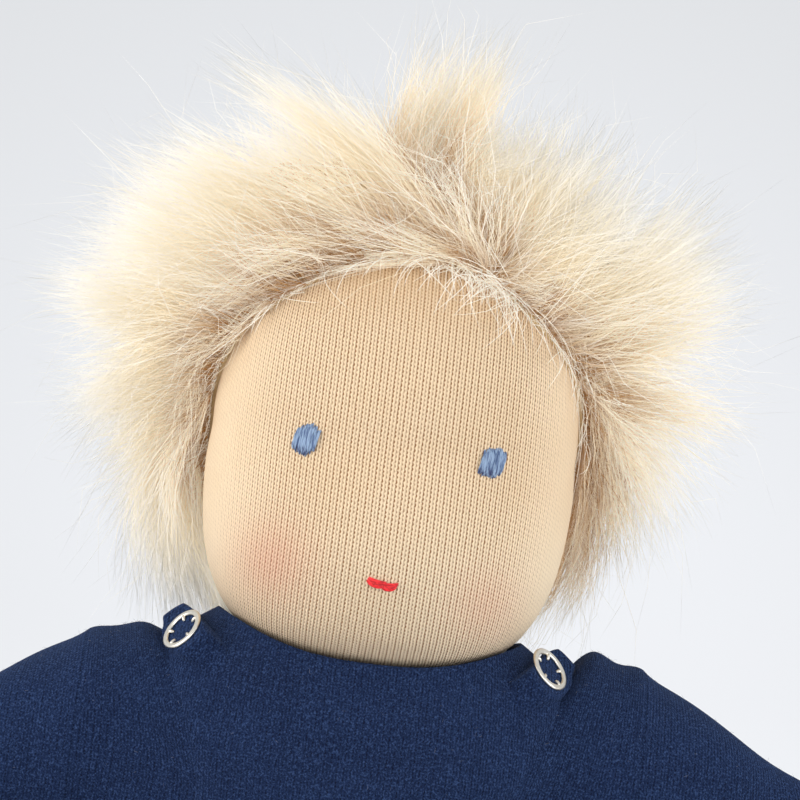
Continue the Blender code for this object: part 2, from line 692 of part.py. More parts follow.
def build_arm(side, sign, materials):
    start, direction = shoulder(sign), arm_direction(sign)
    sleeve = tube_rows([
        (start + direction * SLEEVE_LENGTH * along, direction, SLEEVE_RADIUS * radius, 1.0)
        for along, radius in SLEEVE_SHARES
    ])
    open_tube(f"sleeve_{side}", sleeve, CLOTH, materials["navy"])
    cuff_radius = WRIST_RADIUS + LOOSE_GAP + RIB_CLOTH
    cuff = tube_rows([
        (start + direction * (SLEEVE_LENGTH + GAP + CUFF_LENGTH * share), direction, cuff_radius, 1.0)
        for share in (0.0, 0.5, 1.0)
    ])
    open_tube(f"sleeve_cuff_{side}", cuff, RIB_CLOTH, materials["navy"])
    hand = tube_rows([
        (start + direction * ARM_LENGTH * along, direction, ARM_RADIUS * radius,
         HAND_FLATTEN_SHARE if along > HAND_START_SHARE else 1.0)
        for along, radius in ARM_SHARES
    ])
    inner = offset_rows(hand, -SKIN)
    skin = rows_object(f"arm_skin_{side}", [hand[-1]] + hand[-2:2:-1] + inner[3:], materials["skin"])
    thumb_base = start + direction * ARM_LENGTH * THUMB_PLACE_SHARE
    thumb_depth = ARM_RADIUS * lerp_table(ARM_SHARES, THUMB_PLACE_SHARE) - SKIN / 2
    level, up = limb_frame(direction)
    forward = level if level.y < 0 else -level
    thumb_way = (forward + direction * THUMB_SLANT_SHARE).normalized()
    thumb_radius = WRIST_RADIUS * THUMB_RADIUS_SHARE
    thumb = tube_rows([
        (thumb_base + forward * thumb_depth + thumb_way * thumb_radius * along, thumb_way,
         thumb_radius * radius, 1.0)
        for along, radius in THUMB_SHARES
    ])
    boolean(skin, rows_object(f"thumb_guide_{side}", thumb, None), "UNION")
    fill = offset_rows(hand, -(SKIN + GAP))
    rows_object(f"arm_stuffing_{side}", fill, materials["wool"])
    # The gathering thread that closes the top of the arm
    seam_radius = ARM_RADIUS * ARM_SEAM_SHARE
    clear = ARM_RADIUS * lerp_table(ARM_SHARES, 0.0) - SKIN + THREAD_RADIUS
    across = math.sqrt(clear ** 2 - seam_radius ** 2)
    seam = [
        start + Vector((-sign * across, math.cos(a) * seam_radius, math.sin(a) * seam_radius))
        for a in full_turn(SMALL_SEGMENTS)
    ]
    seam_thread(f"arm_seam_{side}", seam, materials["thread"])


def seam_thread(name, points, material):
    """A closed thread ring lying across the X axis."""
    middle = sum(points, Vector()) / len(points)
    rows = []
    for point in points:
        out = (point - middle).normalized()
        rows.append([
            point + (out * math.cos(turn) + Vector((1, 0, 0)) * math.sin(turn)) * THREAD_RADIUS
            for turn in full_turn(THREAD_SIDES)
        ])
    return rows_object(name, rows, material, loop=True)


def hip(sign):
    return Vector((sign * HIP_OUT, -HIP_FRONT, THIGH_RADIUS - FLAT_DEPTH))


def leg_direction(sign):
    spread = math.radians(LEG_SPREAD_DEGREES)
    return Vector((sign * math.sin(spread), -math.cos(spread), 0))


def leg_centre(sign, distance):
    """Middle of the leg at a distance from the hip: the cloth round it rests on the ground all along."""
    share = distance / LEG_CLOTH_LENGTH
    radius = THIGH_RADIUS * lerp_table(TROUSER_SHARES, share) if share > 0 else THIGH_RADIUS
    centre = hip(sign) + leg_direction(sign) * distance
    centre.z = radius - FLAT_DEPTH
    return centre


def build_leg(side, sign, floor, materials):
    direction = leg_direction(sign)
    trouser = tube_rows([
        (leg_centre(sign, LEG_CLOTH_LENGTH * along), direction, THIGH_RADIUS * radius, 1.0)
        for along, radius in TROUSER_SHARES
    ])
    boolean(open_tube(f"trouser_leg_{side}", trouser, CLOTH, materials["navy"]), floor)
    cuff_radius = ANKLE_RADIUS + LOOSE_GAP + RIB_CLOTH
    end = leg_centre(sign, LEG_CLOTH_LENGTH)
    cuff = tube_rows([
        (end + direction * (GAP + CUFF_LENGTH * share), direction, cuff_radius, 1.0)
        for share in (0.0, 0.5, 1.0)
    ])
    boolean(open_tube(f"ankle_cuff_{side}", cuff, RIB_CLOTH, materials["navy"]), floor)

    # The leg runs level to the ankle, bends up over the heel and ends in the toes
    stations = []
    for along, radius in LEG_SHARES:
        distance = LEG_LENGTH * along
        centre = leg_centre(sign, min(distance, LEG_CLOTH_LENGTH))
        if distance > LEG_CLOTH_LENGTH:
            centre = centre + direction * (distance - LEG_CLOTH_LENGTH)
        stations.append((centre, direction, LEG_RADIUS * radius, 1.0))
    ankle = stations[-1][0]
    bend_middle = ankle + Vector((0, 0, FOOT_BEND_RADIUS))
    level, up = limb_frame(direction)
    for share, radius in FOOT_SHARES:
        turn = math.pi / 2 * share
        centre = bend_middle + (direction * math.sin(turn) - up * math.cos(turn)) * FOOT_BEND_RADIUS
        way = direction * math.cos(turn) + up * math.sin(turn)
        stations.append((centre, way, ANKLE_RADIUS * radius, 1.0))
    heel = stations[-1][0]
    for share, radius in TOE_SHARES:
        stations.append((heel + up * FOOT_RISE * share, up, ANKLE_RADIUS * radius, 1.0))
    rows = []
    for centre, way, radius, flatten in stations:
        if radius == 0:
            rows.append([centre])
            continue
        rise = level.cross(way).normalized()
        rows.append([
            centre + (level * math.cos(a) + rise * math.sin(a)) * radius for a in full_turn(LIMB_SEGMENTS)
        ])
    inner = offset_rows(rows, -SKIN)
    rows_object(f"leg_skin_{side}", [rows[-1]] + rows[-2:2:-1] + inner[3:], materials["skin"])
    rows_object(f"leg_stuffing_{side}", offset_rows(rows, -(SKIN + GAP)), materials["wool"])


# Shoulder tabs and ring snaps

def strap_point(turn, row):
    """Point on the romper's shoulder strap at an angle and between two rows of levels."""
    low = min(int(row), len(ROMPER_LEVEL_SHARES) - 2)
    share = row - low
    level = [
        a + (b - a) * share for a, b in zip(ROMPER_LEVEL_SHARES[low], ROMPER_LEVEL_SHARES[low + 1])
    ]
    return torso_row(level, [turn])[0]


def strap_frame(turn, row):
    """Place, outward normal and the way down the strap."""
    step_turn, step_row = 0.02, 0.2
    across = strap_point(turn + step_turn, row) - strap_point(turn - step_turn, row)
    down = strap_point(turn, row + step_row) - strap_point(turn, row - step_row)
    normal = across.cross(down).normalized()
    if normal.z < 0:
        normal = -normal
    return strap_point(turn, row), normal, down.normalized()


def snap_frame(sign):
    """Matrix whose +Z is the way out of the cloth at the snap and whose +X runs down the strap."""
    turn = math.radians(SNAP_ANGLE_DEGREES)
    place, normal, down = strap_frame(turn, SNAP_ROW)
    side = normal.cross(down).normalized()
    down = side.cross(normal)
    frame = Matrix((
        (down.x, side.x, normal.x, place.x), (down.y, side.y, normal.y, place.y),
        (down.z, side.z, normal.z, place.z), (0, 0, 0, 1),
    ))
    return Matrix.Diagonal((sign, 1, 1, 1)) @ frame


def turned_ring(name, profile, frame, segments, material):
    """A profile of (radius, height) turned round the snap's axis. Closed on itself, or from pole to pole."""
    rows = []
    for radius, height in profile:
        if radius == 0:
            rows.append([frame @ Vector((0, 0, height))])
        else:
            rows.append([
                frame @ Vector((radius * math.cos(a), radius * math.sin(a), height))
                for a in full_turn(segments)
            ])
    return rows_object(name, rows, material, loop=profile[0][0] != 0)


def ring_profile(low):
    """Section of a prong ring: flat underneath and rounded on top."""
    inner, outer = RING_RADIUS - RING_WIDTH / 2, RING_RADIUS + RING_WIDTH / 2
    high = low + RING_THICKNESS
    edge = RING_WIDTH * RING_EDGE_SHARE
    return ((inner, low), (inner, high - edge), (inner + edge, high), (outer - edge, high),
            (outer, high - edge), (outer, low))


def build_snap(side, sign, materials):
    frame = snap_frame(sign)
    base_low = GAP
    base_high = base_low + STUD_BASE_THICKNESS
    turned_ring(f"snap_stud_{side}", (
        (0, base_low), (STUD_BASE_RADIUS, base_low), (STUD_BASE_RADIUS, base_high),
        (STUD_RADIUS, base_high), (STUD_RADIUS, base_high + STUD_KNOB_HEIGHT),
        (0, base_high + STUD_KNOB_HEIGHT),
    ), frame, SMALL_SEGMENTS, materials["metal"])
    socket_low = base_high + GAP
    socket_high = socket_low + SOCKET_THICKNESS
    bore_top = base_high + STUD_KNOB_HEIGHT + GAP
    turned_ring(f"snap_socket_{side}", (
        (0, bore_top), (STUD_RADIUS + GAP, bore_top), (STUD_RADIUS + GAP, socket_low),
        (SOCKET_RADIUS, socket_low), (SOCKET_RADIUS, socket_high), (0, socket_high),
    ), frame, SMALL_SEGMENTS, materials["metal"])
    tab_low = socket_high + SNAP_SEAT
    turned_ring(f"snap_ring_{side}", ring_profile(tab_low + CLOTH + GAP), frame, LIMB_SEGMENTS,
                materials["metal"])
    turned_ring(f"snap_back_ring_{side}", ring_profile(-(CLOTH + SNAP_SEAT + RING_THICKNESS)), frame,
                SMALL_SEGMENTS, materials["metal"])

    # The tab follows the strap, rising from the hinge line to the height of the closed snap
    rows_here, columns_here = 5, 7
    grids = []
    for lift in (CLOTH, 0.0):
        grid = []
        for i in range(rows_here):
            row = []
            for j in range(columns_here):
                share = j / (columns_here - 1)
                turn = math.radians(TAB_START_DEGREES + (TAB_END_DEGREES - TAB_START_DEGREES) * share)
                row_place = TAB_FIRST_ROW + TAB_ROW_SPAN * i / (rows_here - 1)
                place, normal, down = strap_frame(turn, row_place)
                rise = GAP * 2 + (tab_low - GAP * 2) * min(share / TAB_RISE_SHARE, 1.0)
                point = place + normal * (rise + lift)
                row.append(Vector((point.x * sign, point.y, point.z)))
            grid.append(row)
        grids.append(grid)
    slab_object(f"shoulder_tab_{side}", grids[0], grids[1], materials["navy"])


def build_cutters():
    """Room for the balls of the shoulders and hips, and for the thighs as they swing down."""
    cloth, soft = [], []
    for side, sign in SIDES:
        armhole = room(f"armhole_{side}", shoulder(sign), SLEEVE_RADIUS + MOVING_GAP)
        thigh = room(f"thigh_room_{side}", hip(sign), THIGH_RADIUS + MOVING_GAP,
                     Vector((0, 0, -(THIGH_RADIUS + OVERRUN))))
        cloth += [armhole, thigh]
        soft += [armhole, thigh]
    reach = ARM_LENGTH + LEG_LENGTH
    floor = rows_object("floor_guide", [
        [Vector((x, y, z)) for x, y in ((-reach, -reach), (reach, -reach), (reach, reach), (-reach, reach))]
        for z in (0, -OVERRUN)
    ], None)
    body = bmesh.new()
    body.from_mesh(floor.data)
    bmesh.ops.holes_fill(body, edges=body.edges)
    bmesh.ops.recalc_face_normals(body, faces=body.faces)
    body.to_mesh(floor.data)
    body.free()
    cloth.append(floor)
    return {"cloth": cloth, "soft": soft, "floor": floor}


def tab_hinge(sign):
    """Middle of the line along which a shoulder tab is sewn down."""
    turn = math.radians(TAB_START_DEGREES)
    first, normal, down = strap_frame(turn, TAB_FIRST_ROW)
    last, other_normal, other_down = strap_frame(turn, TAB_FIRST_ROW + TAB_ROW_SPAN)
    middle = (first + last) / 2 + (normal + other_normal) * GAP
    return Vector((middle.x * sign, middle.y, middle.z))


def place_origins():
    """Put each moving piece's origin on its joint's axis, then centre the doll's length on the X axis."""
    neck = Vector((0, TORSO_SHIFT, NECK_PIVOT_HEIGHT))
    head = Vector((0, 0, NECK_PIVOT_HEIGHT))
    pivots = {name: neck for name in ("neck_core", "neck_tie")}
    for name in ("head_core", "inner_head", "head_threads", "head_skin", "eye_left", "eye_right", "mouth",
                 "wig_backing", "wig_pile"):
        pivots[name] = head
    for side, sign in SIDES:
        for name in ("arm_seam", "arm_skin", "arm_stuffing", "sleeve", "sleeve_cuff"):
            pivots[f"{name}_{side}"] = shoulder(sign)
        for name in ("leg_skin", "leg_stuffing", "trouser_leg", "ankle_cuff"):
            pivots[f"{name}_{side}"] = hip(sign)
        for name in ("shoulder_tab", "snap_ring", "snap_socket"):
            pivots[f"{name}_{side}"] = tab_hinge(sign)
    pieces = [thing for thing in bpy.data.objects if not thing.hide_render]
    depths = [vertex.co.y for thing in pieces for vertex in thing.data.vertices]
    shift = -(min(depths) + max(depths)) / 2
    for name, pivot in pivots.items():
        thing = bpy.data.objects[name]
        thing.data.transform(Matrix.Translation(-pivot))
        thing.location = pivot
    for thing in bpy.data.objects:
        thing.location.y += shift


def main():
    clear_scene()
    materials = {
        "skin": make_material("tricot_skin", (0.86, 0.66, 0.47), 0.9),
        "wool": make_material("wool_filling", (0.88, 0.84, 0.74), 1.0),
        "thread": make_material("linen_thread", (0.80, 0.74, 0.62), 0.8),
        "blue": make_material("blue_yarn", (0.16, 0.25, 0.52), 0.8),
        "red": make_material("red_yarn", (0.75, 0.03, 0.04), 0.8),
        "hair": make_material("blond_fur", (0.76, 0.64, 0.44), 0.8),
        "backing": make_material("fur_backing", (0.72, 0.62, 0.46), 0.9),
        "navy": make_material("navy_knit", (0.020, 0.035, 0.110), 0.95),
        "metal": make_material("nickel", (0.74, 0.70, 0.63), 0.3, 1.0),
    }
    cutters = build_cutters()
    build_head(materials)
    build_neck(materials)
    build_torso(cutters, materials)
    for side, sign in SIDES:
        build_arm(side, sign, materials)
        build_leg(side, sign, cutters["floor"], materials)
        build_snap(side, sign, materials)
    place_origins()


main()
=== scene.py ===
"""The waldorf doll dressed for its picture: fur, tricot, knit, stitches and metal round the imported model.

Metres, +Z up, the doll looks along -Y and its own left is +X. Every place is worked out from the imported
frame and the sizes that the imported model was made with.
"""

import json
import math

import bpy
import numpy as np
from mathutils import Matrix, Vector


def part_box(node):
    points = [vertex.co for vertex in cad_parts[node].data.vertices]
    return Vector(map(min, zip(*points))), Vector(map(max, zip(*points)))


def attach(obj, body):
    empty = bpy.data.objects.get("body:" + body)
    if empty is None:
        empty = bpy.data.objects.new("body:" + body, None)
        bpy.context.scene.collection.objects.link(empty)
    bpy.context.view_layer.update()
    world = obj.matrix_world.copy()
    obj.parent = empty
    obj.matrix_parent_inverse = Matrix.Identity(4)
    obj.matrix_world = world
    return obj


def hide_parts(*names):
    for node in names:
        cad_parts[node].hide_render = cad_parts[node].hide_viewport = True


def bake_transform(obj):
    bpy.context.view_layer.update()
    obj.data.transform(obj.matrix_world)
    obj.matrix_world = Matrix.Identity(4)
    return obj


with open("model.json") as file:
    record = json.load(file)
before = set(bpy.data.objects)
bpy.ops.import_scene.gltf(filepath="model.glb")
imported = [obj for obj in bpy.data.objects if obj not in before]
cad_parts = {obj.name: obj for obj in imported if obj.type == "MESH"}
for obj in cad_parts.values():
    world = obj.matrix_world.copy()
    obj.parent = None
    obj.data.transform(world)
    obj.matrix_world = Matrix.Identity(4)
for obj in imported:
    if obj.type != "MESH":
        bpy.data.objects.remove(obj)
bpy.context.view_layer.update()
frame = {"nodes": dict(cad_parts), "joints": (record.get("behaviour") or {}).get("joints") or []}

TURN = 2.0 * math.pi
SIDES = (("left", 1.0), ("right", -1.0))
JOINT_PLACES = {joint["name"]: np.array(joint["pos_m"]) for joint in frame["joints"]}


def node_box(name):
    """Lowest and highest corner of a node, as an array of two rows."""
    return np.array([list(corner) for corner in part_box(name)])


# Places that the frame gives
HEAD_CENTRE = node_box("head_core").mean(axis=0)
EYE_HEIGHT = HEAD_CENTRE[2]
MIDDLE_DEPTH = HEAD_CENTRE[1]

# Head
HEAD_HALF_WIDTH = 0.0398
HEAD_HALF_DEPTH = 0.0392
HEAD_ABOVE_EYES = 0.047
HEAD_BELOW_EYES = 0.0465
HEAD_SQUARENESS = 2.2
CHEEK_SWELL = 0.0012
EYE_LINE_DIP = 0.0008
SKIN = 0.0010
EYE_SPACING = 0.0388
EYE_WIDTH = 0.0056
EYE_LENGTH = 0.0069
MOUTH_DROP = 0.0280
HEAD_PROFILE_SHARES = (
    (1.0, 0.0), (0.965, 0.28), (0.86, 0.55), (0.69, 0.755), (0.49, 0.90), (0.31, 0.965), (0.13, 0.988),
    (0.0, 0.988), (-0.16, 1.0), (-0.37, 0.985), (-0.56, 0.945), (-0.73, 0.865), (-0.86, 0.75),
    (-0.95, 0.59), (-1.0, 0.42),
)

# Garment
TORSO_HEIGHT = 0.112
TORSO_HALF_WIDTH = 0.048
TORSO_HALF_DEPTH = 0.033
TORSO_SHIFT = 0.002
TORSO_SQUARENESS = 2.5
BAND_WIDTH = 0.0042
NECK_ROLL = 0.0022
FRONT_RISE = 0.0042
HIP_HOLE_RADIUS = 0.0195
LOWEST_CLOTH = 0.0002
CLOTH = 0.0014
RIB_CLOTH = 0.0018
GAP = 0.0003
LOOSE_GAP = 0.0005
TAB_RISE = 0.0043
ROMPER_LEVEL_SHARES = (
    (0.760, 0.830, 1.0, 0.890), (0.812, 0.860, 0.985, 0.855), (0.905, 0.890, 0.955, 0.815),
    (0.970, 0.905, 0.910, 0.768), (0.970, 0.920, 0.839, 0.714), (0.895, 0.935, 0.714, 0.625),
    (0.900, 0.950, 0.554, 0.518), (0.958, 0.975, 0.393, 0.393), (0.972, 1.0, 0.250, 0.250),
    (0.945, 0.980, 0.121, 0.121), (0.830, 0.860, 0.031, 0.031), (0.600, 0.600, -0.0045, -0.0045),
    (0.060, 0.080, -0.0045, -0.0045),
)

# Arms and legs
ARM_DROP = math.radians(40.0)
SLEEVE_RADIUS = 0.018
SLEEVE_LENGTH = 0.078
CUFF_LENGTH = 0.012
ARM_LENGTH = 0.112
ARM_RADIUS = 0.0126
WRIST_RADIUS = 0.0088
THIGH_RADIUS = 0.0215
LEG_CLOTH_LENGTH = 0.096
LEG_LENGTH = 0.110
LEG_RADIUS = 0.0160
ANKLE_RADIUS = 0.0118
FOOT_RISE = 0.034
FOOT_BEND_RADIUS = 0.0145
LEG_SPREAD = math.radians(8.0)
FLAT_DEPTH = 0.0005
SLEEVE_SHARES = (
    (-0.05, 0.972), (0.0, 1.0), (0.08, 0.975), (0.18, 0.935), (0.36, 0.905), (0.58, 0.865), (0.78, 0.80),
    (0.92, 0.70), (1.0, 0.60),
)
ARM_SHARES = (
    (0.0, 0.96), (0.14, 1.0), (0.36, 0.94), (0.58, 0.82), (0.74, 0.70), (0.79, 0.71), (0.86, 0.80),
    (0.93, 0.78), (0.975, 0.58), (1.0, 0.0),
)
TROUSER_SHARES = (
    (-0.06, 0.965), (0.0, 1.0), (0.08, 0.99), (0.22, 0.955), (0.46, 0.885), (0.70, 0.81), (0.88, 0.74),
    (1.0, 0.66),
)
LEG_SHARES = (
    (0.0, 0.98), (0.16, 1.0), (0.42, 0.93), (0.68, 0.83), (0.88, 0.745), (1.0, 0.74),
)
FOOT_SHARES = ((0.25, 1.04), (0.5, 1.08), (0.75, 1.08), (1.0, 1.06))
TOE_SHARES = ((0.35, 1.02), (0.68, 0.90), (0.90, 0.58), (1.0, 0.0))
HAND_FLATTEN_SHARE = 0.84
THUMB_PLACE_SHARE = 0.86
THUMB_SLANT_SHARE = 0.8
THUMB_RADIUS_SHARE = 0.40

# Fur
TOP_HEIGHT = node_box("wig_pile")[1, 2] + 0.0070
ROOT_LIFT = 0.0008
ROOTS_AT_ONCE = 4000
WIG_EDGE_SHARES = (
    (0.0, 1.0), (20.0, 0.98), (40.0, 0.87), (60.0, 0.66), (75.0, 0.44), (90.0, 0.18), (110.0, -0.34),
    (135.0, -0.66), (180.0, -0.80),
)
WIG_EDGE_ABOVE_EYES = 0.040


# Colours and shader maths

def paint(red, green, blue):
    """Linear colour of an 8-bit screen colour."""
    channels = np.array((red, green, blue)) / 255.0
    linear = np.where(channels <= 0.04045, channels / 12.92, ((channels + 0.055) / 1.055) ** 2.4)
    return (*linear.tolist(), 1.0)


class Value:
    """A number that varies over a surface. Arithmetic on it adds Math nodes."""

    def __init__(self, shader, socket):
        self.shader = shader
        self.socket = socket

    def math(self, operation, *others):
        return self.shader.add("ShaderNodeMath", {"operation": operation}, [self, *others])

    def __add__(self, other):
        return self.math("ADD", other)

    def __mul__(self, other):
        return self.math("MULTIPLY", other)

    def __sub__(self, other):
        return self.math("SUBTRACT", other)

    def __rsub__(self, other):
        return self.shader.add("ShaderNodeMath", {"operation": "SUBTRACT"}, [other, self])

    def __truediv__(self, other):
        return self.math("DIVIDE", other)

    def __pow__(self, other):
        return self.math("POWER", other)

    __radd__ = __add__
    __rmul__ = __mul__

    def clamped(self):
        return self.shader.add("ShaderNodeClamp", {}, [self, 0.0, 1.0])


class Shader:
    """A material's node tree, built from expressions."""

    def __init__(self, name):
        self.material = bpy.data.materials.new(name)
        self.material.use_nodes = True
        self.tree = self.material.node_tree
        self.surface = self.tree.nodes["Principled BSDF"]

    def put(self, socket, value):
        if isinstance(value, Value):
            self.tree.links.new(value.socket, socket)
        else:
            socket.default_value = value

    def add(self, kind, settings, inputs, output=0):
        """A node of that type, its settings first and then its sockets, by place or by name."""
        node = self.tree.nodes.new(kind)
        for key, value in settings.items():
            setattr(node, key, value)
        for key, value in (inputs.items() if isinstance(inputs, dict) else enumerate(inputs)):
            self.put(node.inputs[key], value)
        return Value(self, node.outputs[output])

    def place(self, kind="Object"):
        return self.add("ShaderNodeTexCoord", {}, {}, kind)

    def split(self, vector):
        """The three numbers of a vector."""
        node = self.add("ShaderNodeSeparateXYZ", {}, [vector]).socket.node
        return [Value(self, socket) for socket in node.outputs]

    def scaled(self, vector, amounts):
        return self.add("ShaderNodeVectorMath", {"operation": "MULTIPLY"}, [vector, amounts])

    def noise(self, vector, scale, detail=3.0, roughness=0.55):
        return self.add("ShaderNodeTexNoise", {}, {"Vector": vector, "Scale": scale, "Detail": detail,
                                                   "Roughness": roughness})

    def attribute(self, name):
        return self.add("ShaderNodeAttribute", {"attribute_name": name}, {}, "Fac")

    def ramp(self, value, low, high):
        """0 below low, 1 above high, smooth between them."""
        return self.add("ShaderNodeMapRange", {"interpolation_type": "SMOOTHSTEP"},
                        {"Value": value, "From Min": low, "From Max": high})

    def mix(self, first, second, amount):
        """A colour between two colours."""
        return self.add("ShaderNodeMix", {"data_type": "RGBA"}, {0: amount, 6: first, 7: second}, 2)

    def bump(self, height, distance, strength=1.0, under=None):
        inputs = {"Height": height, "Distance": distance, "Strength": strength}
        if under is not None:
            inputs["Normal"] = under
        return self.add("ShaderNodeBump", {}, inputs)

    def finish(self, **sockets):
        """Sets the surface's sockets, named with _ for a space, and returns the material."""
        for name, value in sockets.items():
            self.put(self.surface.inputs[name.replace("_", " ")], value)
        return self.material


def knit_pattern(shader, wale, course, tilt, sway):
    """Depth of the gaps between a knit's threads, 0 on a thread and 1 in a gap, and the thread's roundness.

    Columns one wale apart sway to and fro once a course, and the gap between two columns opens as cos^1.8 of
    the swayed place across, less at every second wale and between the courses.
    """
    across, along, _ = shader.split(shader.place("UV"))
    wander = shader.noise(shader.place("UV"), 700.0, 2.0) - 0.5
    column = across / wale
    row = along / course + column * tilt + wander * 0.9
    swing = row.math("PINGPONG", 0.5) * 4.0 - 1.0
    swayed = column + swing * sway + wander * 0.30
    open_gap = (swayed * TURN).math("COSINE") * 0.5 + 0.5
    parity = (swayed * math.pi).math("COSINE") * 0.20 + 0.80
    beads = (row * TURN).math("COSINE") * 0.30 + 0.70
    return (open_gap ** 1.8) * parity * beads, 1.0 - open_gap


def tricot_material(name="tricot_skin", blush_and_painted_light=True):
    """Beige cotton tricot: pale threads with painted shade in the gaps between them, and on the face pink
    cheeks, painted light low down and at its sides, and painted shade below the fur.
    """
    shader = Shader(name)
    deep, thread = knit_pattern(shader, 0.000735, 0.00098, 0.23, 0.115)
    place = shader.place()
    patches = shader.noise(place, 60.0, 3.0)
    fine = shader.noise(place, 2600.0, 2.0)
    pale = shader.mix(paint(243, 213, 173), paint(252, 227, 192), patches)
    x, y, z = shader.split(place)
    if blush_and_painted_light:
        # Painted light: the lower face is painted paler, most towards +X, for light falling there from the
        # side and below
        low = shader.ramp(z, EYE_HEIGHT - 0.004, EYE_HEIGHT - 0.028)
        pale = shader.mix(pale, paint(255, 234, 200), low * (0.45 + 0.45 * shader.ramp(x, -0.010, 0.020)))
    # Painted side light: on the face the gaps' painted shade fades to a quarter towards its sides
    closed = 1.0 - shader.ramp(x.math("ABSOLUTE"), 0.022, 0.038) * 0.75 if blush_and_painted_light else 0.8
    # Painted shade: tan in the gaps between the threads, uneven with the fine noise
    colour = shader.mix(pale, paint(136, 92, 52), (deep * (0.95 + 0.95 * fine) * closed).clamped())
    if blush_and_painted_light:
        # Painted shade on the forehead below the fur's edge
        shaded = shader.ramp(z, EYE_HEIGHT + 0.020, EYE_HEIGHT + 0.043)
        colour = shader.mix(colour, paint(206, 162, 112), shaded * 0.40)
        for place_x, place_z, depth in ((-0.0235, -0.0262, 0.33), (0.0222, -0.0300, 0.22)):
            across = (x - place_x) / 0.0082
            up = (z - (EYE_HEIGHT + place_z)) / 0.0086
            spot = ((across * across + up * up) * -1.0).math("EXPONENT")
            front = shader.ramp(y, MIDDLE_DEPTH, MIDDLE_DEPTH - 0.012)
            colour = shader.mix(colour, paint(226, 140, 118), spot * front * depth)
    normal = shader.bump(thread + fine * 0.25, 0.00030, 0.75)
    return shader.finish(Base_Color=colour, Roughness=0.92, Normal=normal, Sheen_Weight=0.12,
                         Sheen_Roughness=0.5, Specular_IOR_Level=0.25)


def navy_material():
    """Brushed navy interlock: faint columns with painted shade between them, under a haze of short fibres
    with a painted sheen.
    """
    shader = Shader("navy_knit")
    deep, thread = knit_pattern(shader, 0.00072, 0.00080, 0.10, 0.16)
    place = shader.place()
    haze = shader.noise(place, 2300.0, 4.0, 0.75)
    cloud = shader.noise(place, 70.0, 3.0)
    base = shader.mix(paint(17, 29, 58), paint(28, 44, 78), cloud)
    # Painted sheen: where the fibres' haze is thick the cloth is painted lighter and bluer
    base = shader.mix(base, paint(66, 90, 136), shader.ramp(haze, 0.45, 0.68) * 0.66)
    # Painted shade: near black in the gaps between the columns, where the haze is thin
    colour = shader.mix(base, paint(5, 9, 24), (deep * shader.ramp(haze, 0.72, 0.40)).clamped())
    normal = shader.bump(thread * 0.6 + haze * 0.9, 0.00034, 0.8)
    return shader.finish(Base_Color=colour, Roughness=0.95, Normal=normal, Sheen_Weight=0.16,
                         Sheen_Roughness=0.45, Sheen_Tint=paint(120, 150, 205), Specular_IOR_Level=0.10)


def fur_material(name, root, body, tip):
    """Fur strands: dark at the root, pale at the tip, each its own tone, ones with painted shade dark for
    longer, and a faint painted glow in their own colour.
    """
    shader = Shader(name)
    tone, shade = shader.attribute("tone"), shader.attribute("shade")
    reach = shader.attribute("reach") - shade * 0.34
    colour = shader.mix(root, body, shader.ramp(reach, -0.05, 0.50))
    colour = shader.mix(colour, tip, shader.ramp(reach, 0.45, 1.0))
    colour = shader.mix(colour, paint(255, 250, 240), tone * 0.75)
    # Painted light: the strands glow faintly in their own colour, for light that passes through the hair
    return shader.finish(Base_Color=colour, Roughness=0.60, Specular_IOR_Level=0.15, Emission_Color=colour,
                         Emission_Strength=0.13)


def wool_material(name, low, high, scale=400.0):
    """Carded wool: soft clouds and fine fibres."""
    shader = Shader(name)
    place = shader.place()
    fibre = shader.noise(shader.scaled(place, (1.0, 1.0, 3.0)), scale, 5.0, 0.7)
    colour = shader.mix(low, high, fibre)
    return shader.finish(Base_Color=colour, Roughness=1.0, Normal=shader.bump(fibre, 0.0005, 0.8))


def yarn_material(name, dark, light, streaks=(1.0, 1.0, 0.12), low=None):
    """Stranded yarn: fibres along the stitches, each of its own tone, and painted shade below the height low.
    """
    shader = Shader(name)
    place = shader.place()
    fibre = shader.noise(shader.scaled(place, streaks), 2600.0, 3.0, 0.65)
    colour = shader.mix(dark, light, shader.ramp(fibre, 0.36, 0.62))
    if low:
        _, _, z = shader.split(place)
        # Painted shade on the stitches below the height low, strongest on the darker fibres
        shade = shader.ramp(z, low + 0.0014, low - 0.0004) * shader.ramp(fibre, 0.62, 0.40)
        colour = shader.mix(colour, paint(48, 58, 98), shade)
    normal = shader.bump(fibre, 0.00016, 0.9)
    return shader.finish(Base_Color=colour, Roughness=0.75, Normal=normal, Sheen_Weight=0.25)


def nickel_material():
    """Plated snap metal: warm, slightly worn."""
    shader = Shader("nickel")
    place = shader.place()
    wear = shader.noise(place, 900.0, 4.0)
    smear = shader.noise(place, 260.0, 2.0)
    colour = shader.mix(paint(214, 205, 188), paint(246, 243, 235), wear)
    return shader.finish(Base_Color=colour, Metallic=1.0, Roughness=0.22 + smear * 0.25,
                         Normal=shader.bump(wear, 0.00004, 0.5))


# Grids and meshes

def circle(count):
    """Angles that go once round in equal steps."""
    return np.arange(count) * TURN / count


def ring_ways(first, second, columns):
    """Ways out from an axis at equal angles a: first cos a + second sin a."""
    angles = circle(columns)[:, None]
    return first[..., None, :] * np.cos(angles) + second[..., None, :] * np.sin(angles)


